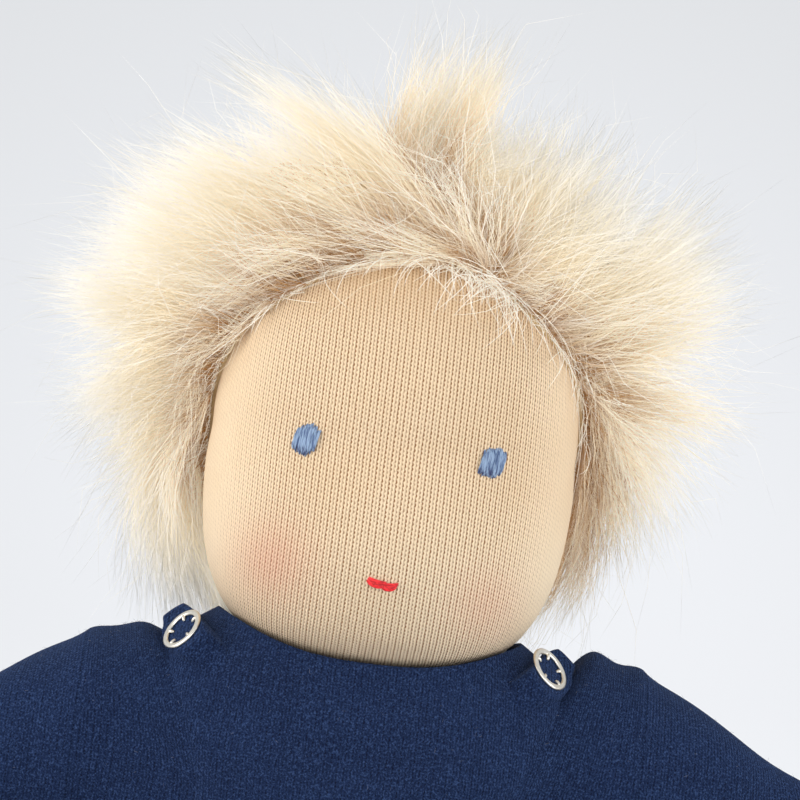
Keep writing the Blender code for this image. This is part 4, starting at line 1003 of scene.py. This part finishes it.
def cloth_swell(points):
    """How far the navy cloth stands out at points: folds that leave the snaps, and a slow wave."""
    swell = np.zeros(points.shape[:2])
    for side, sign in SIDES:
        snap = node_box(f"snap_ring_{side}").mean(axis=0)
        ways = ((-sign * 0.2, -0.3, -1.0), (-sign * 0.8, -0.3, -0.8), (sign * 0.35, -0.3, -1.0))
        swell += soft_folds(points, snap, ways, 0.0045, 0.0011, 0.030)
    x, z = points[..., 0], points[..., 2]
    wave = np.sin(x * 95 + 1.3 * np.sin(z * 120)) * smoothstep(z, 0.02, 0.06)
    return swell + 0.0007 * wave * (1.0 - smoothstep(z, 0.086, 0.096))


def build_romper(material, fuzz_material):
    """The romper's body with a rolled neckline and soft folds, and holes where sleeves and legs leave it."""
    turns = circle(176)
    body = torso_surface(np.linspace(0.0, 11.9, 140), turns)
    rise = unit(body[0] - body[3])
    lip = np.array([0.95, 0.8, 0.55, 0.28])[:, None, None]
    band = body[0] + rise * BAND_WIDTH * lip
    inwards = unit((HEAD_CENTRE * (1, 1, 0) + (0, 0, 0.1)) - body[0])
    roll = band[:1] + inwards * NECK_ROLL - rise * 0.0006
    grid = np.concatenate([roll, band, body], axis=0)
    front = np.clip(np.cos(turns), 0.0, 1.0)[None] ** 1.2
    grid[..., 2] += FRONT_RISE * front * smoothstep(grid[..., 2], 0.062, 0.100)
    grid = grid + outward_normals(grid, True, grid.mean(axis=(0, 1))) * cloth_swell(grid)[..., None]
    grid[..., 2] = np.maximum(grid[..., 2], LOWEST_CLOTH)
    pairs = grid + np.roll(grid, -1, axis=1)
    middle = (pairs[:-1] + pairs[1:]) / 4
    keep = np.ones(middle.shape[:2], bool)
    for side, sign in SIDES:
        hole = armhole(sign, 0.80)
        centre = hole.mean(axis=0)
        spread = hole - centre
        angle = np.arctan2(spread[:, 2], spread[:, 1])
        order = np.argsort(angle)
        here = middle - centre
        limit = np.interp(np.arctan2(here[..., 2], here[..., 1]), angle[order],
                          np.hypot(spread[order, 1], spread[order, 2]), period=TURN)
        keep &= ~((np.hypot(here[..., 1], here[..., 2]) < limit) & (sign * middle[..., 0] > 0.020))
        keep &= np.linalg.norm(middle - JOINT_PLACES[f"hip_{side}"], axis=2) > HIP_HOLE_RADIUS
    piece = grid_piece("romper_body", grid, material, "torso", "navy_knit",
                       ["romper_front", "romper_back", "neck_band_front", "neck_band_back"],
                       caps=(False, True), keep=keep, uv=flat_uv(grid, 90))
    solidify(piece, CLOTH)
    rows = np.flatnonzero(keep.all(axis=1) | (middle[..., 2].mean(axis=1) > 0.05))
    fuzz = build_fuzz("romper_fuzz", grid[:rows.max()], 4400, fuzz_material, 3)
    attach(fuzz, "torso")


# Places on the romper's table (turn from the front, row) that the cloth of a sleeve grows out of
ARMHOLE_SHARES = (
    (40.0, 4.4), (48.0, 2.9), (68.0, 2.1), (90.0, 1.9), (112.0, 2.1), (132.0, 2.9),
    (140.0, 4.4), (132.0, 5.8), (112.0, 6.8), (90.0, 7.1), (68.0, 6.8), (48.0, 5.8),
)


def armhole(sign, share=1.0, count=96):
    """The armhole's loop on the romper, from its front over the shoulder and back under the arm, with a share
    of its size about its middle."""
    table = np.array(ARMHOLE_SHARES)
    rows = np.vstack([table[-1:], table, table[:2]])
    spots = through(rows, 1.0 + np.arange(count) * len(table) / count)
    middle = np.array((90.0, 4.8))
    turns, levels = (middle + (spots - middle) * share).T
    found = [torso_surface(levels[k:k + 1], np.radians(turns[k:k + 1]))[0, 0] for k in range(count)]
    return np.array(found) * (sign, 1, 1)


def torso_normals(points, sign):
    """Outward normals of the romper at points on its side, from the nearest ones of a fine grid."""
    fine = torso_surface(np.linspace(0.0, 9.0, 160), np.linspace(0.1, math.pi - 0.1, 160))
    normals = outward_normals(fine, False, fine.mean(axis=(0, 1))).reshape(-1, 3) * (sign, 1, 1)
    fine = fine.reshape(-1, 3) * (sign, 1, 1)
    return normals[((points[:, None] - fine[None]) ** 2).sum(-1).argmin(axis=1)]


def hermite(first, leave, last, arrive, t):
    """Cubic curve between two points with given slopes at its ends."""
    t = t[:, None, None]
    return ((2 * t ** 3 - 3 * t ** 2 + 1) * first + (t ** 3 - 2 * t ** 2 + t) * leave
            + (3 * t ** 2 - 2 * t ** 3) * last + (t ** 3 - t ** 2) * arrive)


def arm_way(sign):
    """Way of a hanging arm from its shoulder."""
    return np.array((sign * math.cos(ARM_DROP), 0.0, -math.sin(ARM_DROP)))


# Over each arm: how far the cloth puffs up on top, least at the shoulder, and how high the shoulder humps
PUFFS = {1.0: (0.0112, 0.0070), -1.0: (0.0026, 0.0032)}
# Where the oval sleeve begins, its plane upright, and how far it hangs slack under the arm there
FIRST_RING = 0.0105
SLACK = 0.0155


def build_sleeve(side, sign, material, fuzz_material):
    """A shoulder that leaves the romper smoothly, a roomy sleeve along the arm, and its ribbed cuff."""
    start = JOINT_PLACES[f"arm_swing_{side}"]
    direction = arm_way(sign)
    turns = circle(96)
    level = np.array((0.0, -1.0, 0.0))
    table = np.array(SLEEVE_SHARES)
    puff, hump_height = PUFFS[sign]

    def ring(distance, tilt):
        """Oval across the sleeve at a distance, its plane turned from upright (0) to square to it (1)."""
        radius = SLEEVE_RADIUS * np.interp(distance / SLEEVE_LENGTH, table[:, 0], table[:, 1])
        lean = ARM_DROP * tilt
        up = np.array((sign * math.sin(lean), 0.0, math.cos(lean)))
        slack = 1.0 - float(smoothstep(distance, 0.012, 0.050))
        room = 0.66 + 0.34 * float(smoothstep(distance, 0.010, 0.045))
        above = radius + puff * room * (1.0 - float(smoothstep(distance, 0.052, 0.077)))
        height = np.where(np.sin(turns) > 0, above, radius + SLACK * slack) * np.sin(turns)
        breadth = radius * (1.0 + 0.10 * slack) * np.cos(turns)
        return start + direction * distance + level * breadth[:, None] + up * height[:, None]

    first_ring = ring(FIRST_RING, 0.0)
    loop = armhole(sign)
    outside = torso_normals(loop, sign)
    chord = first_ring - loop
    size = np.linalg.norm(chord, axis=1, keepdims=True)
    leave = unit(chord - (chord * outside).sum(1, keepdims=True) * outside) * size * 1.05
    arrive = (direction * 0.75 + np.array((sign, 0, 0)) * 0.25) * size * 0.95
    share = np.linspace(0.0, 1.0, 36)
    loop = loop + outside * (cloth_swell(loop[None])[0] - 0.0002)[:, None]
    shoulder = hermite(loop, leave, first_ring, arrive, share)
    hump = np.exp(-((share - 0.34) / 0.27) ** 2)[:, None] * np.maximum(np.sin(turns), 0.0)[None] ** 2
    shoulder[..., 2] += hump_height * hump
    distances = np.linspace(FIRST_RING, SLEEVE_LENGTH, 60)
    tilts = smoothstep(distances, FIRST_RING, 0.034)
    sleeve = np.stack([ring(distance, tilt) for distance, tilt in zip(distances, tilts)])
    away = sleeve - (start + direction * distances[:, None])[:, None]
    around, along = turns[None], distances[:, None]
    folds = 0.0008 * np.sin(3 * around + 240 * along) + 0.0006 * np.sin(5 * around - 190 * along + 1.0)
    folds = folds * smoothstep(along, FIRST_RING + 0.002, 0.03) * (1.0 - smoothstep(along, 0.066, 0.078))
    sleeve = sleeve + unit(away) * folds[..., None]
    upright = np.zeros(len(shoulder))
    for name, grid, lean, pair, reach, replaces, flat in (
        (f"shoulder_cloth_{side}", shoulder, upright, ("torso", f"shoulder_{side}"), (0.0430, 0.0590),
         [], (0.150, 0.024)),
        (f"sleeve_cloth_{side}", sleeve, ARM_DROP * tilts, (f"shoulder_{side}", f"arm_{side}"),
         (0.0605, 0.0760), [f"sleeve_{side}"], (0.112, 0.068)),
    ):
        # Wales stand upright in front, as in cloth cut in one with the body
        lean, across = lean[:, None], from_front(grid)
        x, z = grid[:, :1, 0], grid[:, :1, 2]
        uv = np.stack([x + across * np.sin(lean) * sign, z + across * np.cos(lean)], -1)
        piece = grid_piece(name, grid, material, None, "navy_knit", replaces, uv=uv)
        fuzz = build_fuzz(f"{name}_fuzz", grid, 1100, fuzz_material, 5)
        ends = [(sign * place, start[1], start[2]) for place in reach]
        for cloth in (piece, fuzz):
            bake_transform(cloth)
        solidify(piece, CLOTH)
    build_cuff(f"sleeve_cuff_rib_{side}", start + direction * (SLEEVE_LENGTH - 0.001), direction,
               WRIST_RADIUS + LOOSE_GAP + RIB_CLOTH, material, f"arm_{side}", f"sleeve_cuff_{side}")


def build_fuzz(name, grid, count, material, seed):
    """Short fine fibres that lie on a cloth, each root at a random place of its grid."""
    random = np.random.default_rng(seed)
    normals = outward_normals(grid, True, grid.mean(axis=1, keepdims=True))
    i, j = random.integers(1, len(grid) - 1, count), random.integers(0, grid.shape[1], count)
    after = (j + 1) % grid.shape[1]
    t, u = random.random((count, 1)), random.random((count, 1))
    roots = grid[i, j] * (1 - t) + grid[i, after] * t
    roots = roots * (1 - u) + (grid[i - 1, j] * (1 - t) + grid[i - 1, after] * t) * u
    normal = normals[i, j]
    way = unit(random.normal(0.0, 1.0, (count, 3)))
    way = unit(way - (way * normal).sum(1, keepdims=True) * normal * 0.8)
    length = random.uniform(0.0004, 0.0013, (count, 1)) * (1.0 + 1.8 * (random.random((count, 1)) > 0.992))
    t = np.linspace(0.0, 1.0, 4)[None, :, None]
    arch = 0.45 * t * (1.6 - t)
    paths = roots[:, None] + (way * length)[:, None] * t + (normal * length)[:, None] * arch
    paths[..., 2] = np.maximum(paths[..., 2], 0.5 * LOWEST_CLOTH)
    radii = random.uniform(0.000014, 0.000024, (count, 1)) * np.linspace(1.0, 0.5, 4)[None]
    mesh = strand_mesh(name, paths, radii, 0.45 * random.random(count) ** 24)
    return add_piece(name, mesh, material, None)


def build_cuff(name, start, direction, radius, material, body, node):
    """A ribbed band: a tube whose radius waves round it, rolled in at both ends."""
    columns, rows, ribs, rib_depth = 140, 12, 28, 0.00018
    share = np.linspace(0.0, 1.0, rows)
    centres = start + direction * (share[:, None] * (CUFF_LENGTH + 0.001))
    radii = radius - 0.0007 * np.abs(2 * share - 1) ** 6
    grid = tube_rows(centres, direction, radii, columns)
    grid = grid + unit(grid - centres[:, None]) * (rib_depth * np.cos(circle(columns) * ribs))[None, :, None]
    piece = grid_piece(name, grid, material, body, "navy_knit", [node])
    solidify(piece, RIB_CLOTH - 0.0004)


def build_hand(side, sign, material):
    """Arm and mitten hand of tricot: a round tube by its table, flattened at the hand, with a thumb."""
    start = JOINT_PLACES[f"arm_swing_{side}"]
    direction = arm_way(sign)
    along, girth = through(ARM_SHARES, np.linspace(0.0, len(ARM_SHARES) - 1.02, 64)).T
    flatten = 1.0 - (1.0 - HAND_FLATTEN_SHARE) * smoothstep(along, 0.76, 0.86)
    # Gathered round at the shoulder
    gathered = np.sqrt(1.0 - 0.7 * (1.0 - np.clip(along * ARM_LENGTH / 0.012, 0.0, 1.0)) ** 2)
    grid = tube_rows(start + direction * ARM_LENGTH * along[:, None], direction,
                     ARM_RADIUS * np.maximum(girth, 0.0) * gathered, 48, flatten)
    piece = grid_piece(f"arm_tricot_{side}", grid, material, f"arm_{side}", "tricot",
                       [f"arm_skin_{side}", f"arm_stuffing_{side}"], caps=(True, True))
    table = np.array(ARM_SHARES)
    depth = ARM_RADIUS * np.interp(THUMB_PLACE_SHARE, table[:, 0], table[:, 1]) - SKIN
    forward = np.array((0.0, -1.0, 0.0))
    root = start + direction * ARM_LENGTH * THUMB_PLACE_SHARE + forward * depth
    way = unit(forward + direction * THUMB_SLANT_SHARE)
    radius = WRIST_RADIUS * THUMB_RADIUS_SHARE
    t = np.linspace(-0.4, 1.0, 24)
    size = radius * np.sqrt(np.clip(1.0 - np.clip((t - 0.45) / 0.55, 0, 1) ** 2, 0.0, 1.0)) + 1e-5
    thumb = tube_rows(root + way * radius * 2.1 * t[:, None], way, size, 32)
    grid_piece(f"thumb_tricot_{side}", thumb, material, f"arm_{side}", "tricot", caps=(True, True))


def leg_centres(start, direction, distances):
    """Middle of the leg at distances from the hip: the cloth round it rests on the ground all along."""
    table = np.array(TROUSER_SHARES)
    shares = np.clip(distances / LEG_CLOTH_LENGTH, 0.0, 1.0)
    radii = THIGH_RADIUS * np.interp(shares, table[:, 0], table[:, 1])
    centres = start + direction * distances[:, None]
    centres[:, 2] = radii - FLAT_DEPTH
    return centres, radii


def build_leg(side, sign, navy, tricot):
    """A trouser leg that bends over the hip, its ankle cuff, and the leg and upturned foot inside it."""
    start = JOINT_PLACES[f"hip_{side}"]
    direction = np.array((sign * math.sin(LEG_SPREAD), -math.cos(LEG_SPREAD), 0.0))
    columns = 96
    distances = np.linspace(-0.012, LEG_CLOTH_LENGTH, 72)
    centres, radii = leg_centres(start, direction, distances)
    radii = radii * np.where(distances < 0, np.sqrt(np.clip(1 - (distances / 0.026) ** 2, 0, 1)), 1.0)
    grid = tube_rows(centres, direction, radii, columns)
    turns, along = circle(columns)[None], distances[:, None]
    folds = 0.0009 * np.sin(2 * turns + 150 * along) + 0.0007 * np.sin(5 * turns - 170 * along)
    folds = folds * smoothstep(along, 0.008, 0.03) * (1.0 - smoothstep(along, 0.084, 0.096))
    grid = grid + unit(grid - centres[:, None]) * folds[..., None]
    grid[..., 2] = np.maximum(grid[..., 2], LOWEST_CLOTH)
    piece = grid_piece(f"trouser_cloth_{side}", grid, navy, None, "navy_knit", [f"trouser_leg_{side}"])
    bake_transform(piece)
    solidify(piece, CLOTH)
    build_cuff(f"ankle_cuff_rib_{side}", centres[-1] - direction * 0.001, direction,
               ANKLE_RADIUS + LOOSE_GAP + RIB_CLOTH, navy, f"leg_{side}", f"ankle_cuff_{side}")

    # The leg runs level to the ankle, bends up over the heel and ends in the toes
    shares = np.array(LEG_SHARES)
    spots = shares[:, 0] * LEG_LENGTH
    middles, _ = leg_centres(start, direction, np.minimum(spots, LEG_CLOTH_LENGTH))
    middles = middles + direction * np.maximum(spots - LEG_CLOTH_LENGTH, 0.0)[:, None]
    up = np.array((0.0, 0.0, 1.0))
    line = [(*middle, *direction, size * LEG_RADIUS) for middle, size in zip(middles, shares[:, 1])]
    bend = middles[-1] + up * FOOT_BEND_RADIUS
    for share, size in FOOT_SHARES:
        turn = math.pi / 2 * share
        heel = bend + (direction * math.sin(turn) - up * math.cos(turn)) * FOOT_BEND_RADIUS
        line.append((*heel, *(direction * math.cos(turn) + up * math.sin(turn)), ANKLE_RADIUS * size))
    line += [(*(heel + up * FOOT_RISE * share), *up, ANKLE_RADIUS * size) for share, size in TOE_SHARES]
    line = through(line, np.linspace(0.0, len(line) - 1.02, 100))
    side_way = unit(np.cross(direction, up))
    rise = unit(np.cross(side_way, line[:, 3:6]))
    grid = line[:, None, :3] + np.maximum(line[:, 6], 0.0)[:, None, None] * ring_ways(side_way, rise, 56)
    piece = grid_piece(f"leg_tricot_{side}", grid, tricot, f"leg_{side}", "tricot", [f"leg_skin_{side}"],
                       caps=(False, True))


def build_tab(side, sign, material):
    """The shoulder tab: the strap's surface raised over the closed snap, its soft edges down on the strap."""
    i, j = np.meshgrid(np.linspace(-1, 1, 40), np.linspace(-1, 1, 52), indexing="ij")
    # Square to round: the corners are drawn in
    row_share = i * np.sqrt(1.0 - 0.42 * j ** 2)
    turn_share = j * np.sqrt(1.0 - 0.42 * i ** 2)
    turns = math.radians(67.0) + math.radians(26.0) * turn_share
    levels = 1.02 + 1.14 * row_share
    levels = np.maximum(levels, 0.0) + 0.12 * np.minimum(levels, 0.0)
    across = strap_points(turns + 0.02, levels) - strap_points(turns - 0.02, levels)
    down = strap_points(turns, levels + 0.2) - strap_points(turns, np.maximum(levels - 0.2, 0.0))
    normal = unit(np.cross(across, down))
    normal = normal * np.sign(normal[..., 2:3])
    centre, axis = snap_plane(side, sign)
    normal = unit(normal + axis * (sign, 1, 1))
    edge = np.clip(np.maximum(np.abs(i), np.abs(j)), 0.0, 1.0)
    dome = 1.0 - smoothstep(edge, 0.42, 1.0)
    grid = strap_points(turns, levels) + normal * (GAP + CLOTH + (TAB_RISE - GAP) * dome)[..., None]
    grid[..., 0] *= sign
    # The middle lies flat under the ring
    offset = ((grid - centre) * axis).sum(-1)
    hold = 1.0 - smoothstep(np.linalg.norm(grid - centre, axis=2), 0.0066, 0.0104)
    hold = hold * (1.0 - smoothstep(edge, 0.84, 1.0))
    grid = grid - axis * ((offset + 0.0003) * hold)[..., None]
    piece = grid_piece(f"tab_cloth_{side}", grid, material, f"tab_{side}", "navy_knit",
                       [f"shoulder_tab_{side}"], closed=False, uv=np.stack([grid[..., 0], grid[..., 2]], -1))
    solidify(piece, CLOTH)


# Snaps

def node_plane(name):
    """Centre and normal of a flat round node: the direction in which its points spread least."""
    points = np.array([vertex.co[:] for vertex in frame["nodes"][name].data.vertices])
    centre = (points.min(axis=0) + points.max(axis=0)) / 2
    normal = np.linalg.svd(points - centre, full_matrices=False)[2][2]
    return centre, normal if normal[2] > 0 else -normal


# Each snap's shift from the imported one, in, back and down, and how far it leans outwards
SNAP_SHIFTS = {1.0: (0.0008, 0.0, 0.0013), -1.0: (0.0010, 0.0, 0.0024)}
SNAP_LEANS = {1.0: 12.0, -1.0: 20.0}
RING_RADIUS = 0.0044
RING_HALF_WIDTH = 0.00066
RING_HALF_HEIGHT = 0.00040
PRONGS = 5
DISC_PROFILE = ((0.0014, -0.0004), (0.0018, -0.0002), (0.0018, 0.0002), (0.0014, 0.0004))


def snap_plane(side, sign):
    """Centre and normal of the closed snap's ring, leaning outwards with the cloth that it pulls down."""
    centre, normal = node_plane(f"snap_ring_{side}")
    lean = math.tan(math.radians(SNAP_LEANS[sign]))
    return centre - SNAP_SHIFTS[sign], unit(normal + np.array((sign * lean, 0.0, 0.0)))


def build_snap(side, sign, metal):
    """An open prong ring: a turned half-round profile with five small prongs folded in over its hole."""
    centre, normal = snap_plane(side, sign)
    first = unit(np.cross(normal, (0.0, 1.0, 0.0)))
    second = np.cross(normal, first)
    out = ring_ways(first, second, 96)[:, None]
    section = circle(16)[:, None]
    grid = centre + out * (RING_RADIUS + RING_HALF_WIDTH * signed_power(np.cos(section), 0.8)) + (
        normal * RING_HALF_HEIGHT * signed_power(np.sin(section), 0.8))
    grid_piece(f"snap_ring_metal_{side}", np.concatenate([grid, grid[:1]], axis=0), metal, f"tab_{side}",
               "nickel", [f"snap_ring_{side}"])
    t = np.linspace(0, 1, 9)[:, None]
    height = 0.0003 * np.sin(math.pi * t) - 0.0004 * t
    grids = []
    for k in range(PRONGS):
        turn = TURN * (k + 0.3) / PRONGS
        ray = first * math.cos(turn) + second * math.sin(turn)
        spine = centre + ray * (RING_RADIUS - 0.0002 - 0.0016 * t) + normal * height
        grids.append(stitch(spine, 0.00038, 8))
    joined_piece(f"snap_prongs_{side}", grids, metal, f"tab_{side}")
    # The hidden half under the tab and the stud that it grips, both turned
    profile = np.array(DISC_PROFILE)
    for name, body, drop in (("socket", f"tab_{side}", 0.0024), ("stud", "torso", 0.0034)):
        grid = centre + (0.0, 0.0026, -drop) + out * profile[:, :1] + normal * profile[:, 1:]
        grid_piece(f"snap_{name}_metal_{side}", grid, metal, body, "nickel", [f"snap_{name}_{side}"],
                   caps=(True, True))


# Studio

GLOW_RAYS = ("Camera", "Glossy", "Transmission")
PAPER_GLOW = 0.86
DAYLIGHT = 0.74
# Each lamp's name, place from the doll's middle, size, power and colour
LAMPS = (
    ("key", (-1.05, -0.35, 0.42), 0.70, 7.2, (1.0, 0.99, 0.98)),
    ("fill", (0.95, -0.45, 0.22), 0.70, 4.8, (0.99, 0.99, 1.0)),
    ("front", (0.10, -1.25, 0.04), 0.60, 5.0, (1.0, 1.0, 1.0)),
)
SENSOR = 36.0
CAMERA_DISTANCE = 0.90
PICTURE_WIDTH = 0.1728
CAMERA_ELEVATION = math.radians(0.3)
CAMERA_AZIMUTH = math.radians(-2.3)
CAMERA_ROLL = math.radians(7.2)
# The camera's place from the point between the eyes, in its own axes
CAMERA_SHIFT = (0.0, 0.01065, 0.8615)


def build_paper():
    """A floor that sweeps up behind the doll, its glow painted brightest behind the head as a pool of light.
    """
    width, near, far, bend, height = 4.0, -2.2, 1.6, 0.9, 2.6
    turns = np.linspace(0.0, math.pi / 2, 24)
    curve = [(far + bend * math.sin(turn), bend - bend * math.cos(turn)) for turn in turns]
    profile = [(near, 0.0), *curve, (far + bend, height)]
    mesh = bpy.data.meshes.new("studio_sweep")
    faces = [(2 * i, 2 * i + 1, 2 * i + 3, 2 * i + 2) for i in range(len(profile) - 1)]
    mesh.from_pydata([(x, y, z) for y, z in profile for x in (-width, width)], [], faces)
    mesh.shade_smooth()
    shader = Shader("studio_paper")
    shader.finish(Base_Color=paint(236, 237, 240), Roughness=0.9)
    x, _, z = shader.split(shader.place())
    # Painted pool of light: the glow is brightest behind the head and darker away from it
    across, up = (x - 0.14) / 0.60, z / 0.52
    middle = ((across * across + up * up) * -1.0).math("EXPONENT")
    backdrop = shader.mix(paint(217, 219, 221), paint(246, 248, 252), middle)
    glow = shader.add("ShaderNodeEmission", {}, {"Color": backdrop, "Strength": 1.0})
    seen = sum(shader.add("ShaderNodeLightPath", {}, {}, f"Is {ray} Ray") for ray in GLOW_RAYS).clamped()
    paper = Value(shader, shader.surface.outputs[0])
    mixed = shader.add("ShaderNodeMixShader", {}, [seen * PAPER_GLOW, paper, glow])
    output = next(node for node in shader.tree.nodes if node.type == "OUTPUT_MATERIAL")
    shader.tree.links.new(mixed.socket, output.inputs["Surface"])
    mesh.materials.append(shader.material)
    put_in_scene("studio_sweep", mesh)


def build_studio():
    """Soft light from all round, three soft lamps and the camera at the picture's angle."""
    world = bpy.data.worlds.new("studio")
    bpy.context.scene.world = world
    world.use_nodes = True
    sky = world.node_tree.nodes["Background"].inputs
    sky["Color"].default_value = (0.95, 0.97, 1.0, 1.0)
    sky["Strength"].default_value = DAYLIGHT
    for name, place, size, power, colour in LAMPS:
        light = bpy.data.lights.new(name, "AREA")
        light.size, light.energy, light.color = size, power, colour
        lamp = put_in_scene(name, light)
        lamp.location = Vector(place) + Vector((0.0, MIDDLE_DEPTH, 0.0))
        lamp.rotation_euler = (Vector(HEAD_CENTRE) - lamp.location).to_track_quat("-Z", "Y").to_euler()

    data = bpy.data.cameras.new("camera")
    data.sensor_width = SENSOR
    data.lens = SENSOR * CAMERA_DISTANCE / PICTURE_WIDTH
    data.clip_start, data.clip_end = 0.05, 20.0
    level = math.cos(CAMERA_ELEVATION)
    back = Vector((math.sin(CAMERA_AZIMUTH) * level, -math.cos(CAMERA_AZIMUTH) * level,
                   math.sin(CAMERA_ELEVATION)))
    turn = (-back).to_track_quat("-Z", "Y").to_matrix() @ Matrix.Rotation(CAMERA_ROLL, 3, "Z")
    eyes = Vector((0.0, float(face_point(0.0, EYE_HEIGHT)[1]), EYE_HEIGHT))
    camera = put_in_scene("camera", data)
    camera.location = eyes + turn @ Vector(CAMERA_SHIFT)
    camera.rotation_euler = turn.to_euler()
    bpy.context.scene.camera = camera
    bpy.context.scene.view_settings.view_transform = "Standard"


def finish_nodes(wool, thread, metal, tricot, navy):
    """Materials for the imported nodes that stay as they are."""
    for name, node in frame["nodes"].items():
        if "snap" in name:
            chosen = metal
        elif any(word in name for word in ("threads", "tie", "seam")):
            chosen = thread
        elif "skin" in name:
            chosen = tricot
        elif any(word in name for word in ("romper", "band", "sleeve", "trouser", "cuff", "tab")):
            chosen = navy
        else:
            chosen = wool
        node.data.materials.clear()
        node.data.materials.append(chosen)


def main():
    tricot = tricot_material()
    plain_tricot = tricot_material("tricot_limbs", False)
    navy = navy_material()
    fur = fur_material("blond_fur", paint(180, 129, 68), paint(249, 235, 206), paint(255, 252, 243))
    fuzz = fur_material("navy_fuzz", paint(30, 44, 78), paint(44, 60, 98), paint(62, 80, 122))
    under = wool_material("under_wool", paint(186, 150, 100), paint(228, 204, 160), 700.0)
    wool = wool_material("wool_filling", paint(214, 204, 180), paint(240, 234, 216))
    thread = yarn_material("linen_thread", paint(196, 184, 160), paint(226, 216, 194))
    blue = yarn_material("blue_yarn", paint(72, 95, 134), paint(148, 171, 199), low=EYE_HEIGHT - 0.0020)
    red = yarn_material("red_yarn", paint(188, 10, 20), paint(252, 46, 52), (0.35, 1.0, 1.0))
    metal = nickel_material()
    finish_nodes(wool, thread, metal, plain_tricot, navy)
    build_paper()
    build_studio()
    build_head(tricot)
    build_face(blue, red)
    build_under_pile(under)
    build_fur(fur)
    build_romper(navy, fuzz)
    for side, sign in SIDES:
        build_sleeve(side, sign, navy, fuzz)
        build_hand(side, sign, plain_tricot)
        build_leg(side, sign, navy, plain_tricot)
        build_tab(side, sign, navy)
        build_snap(side, sign, metal)


main()
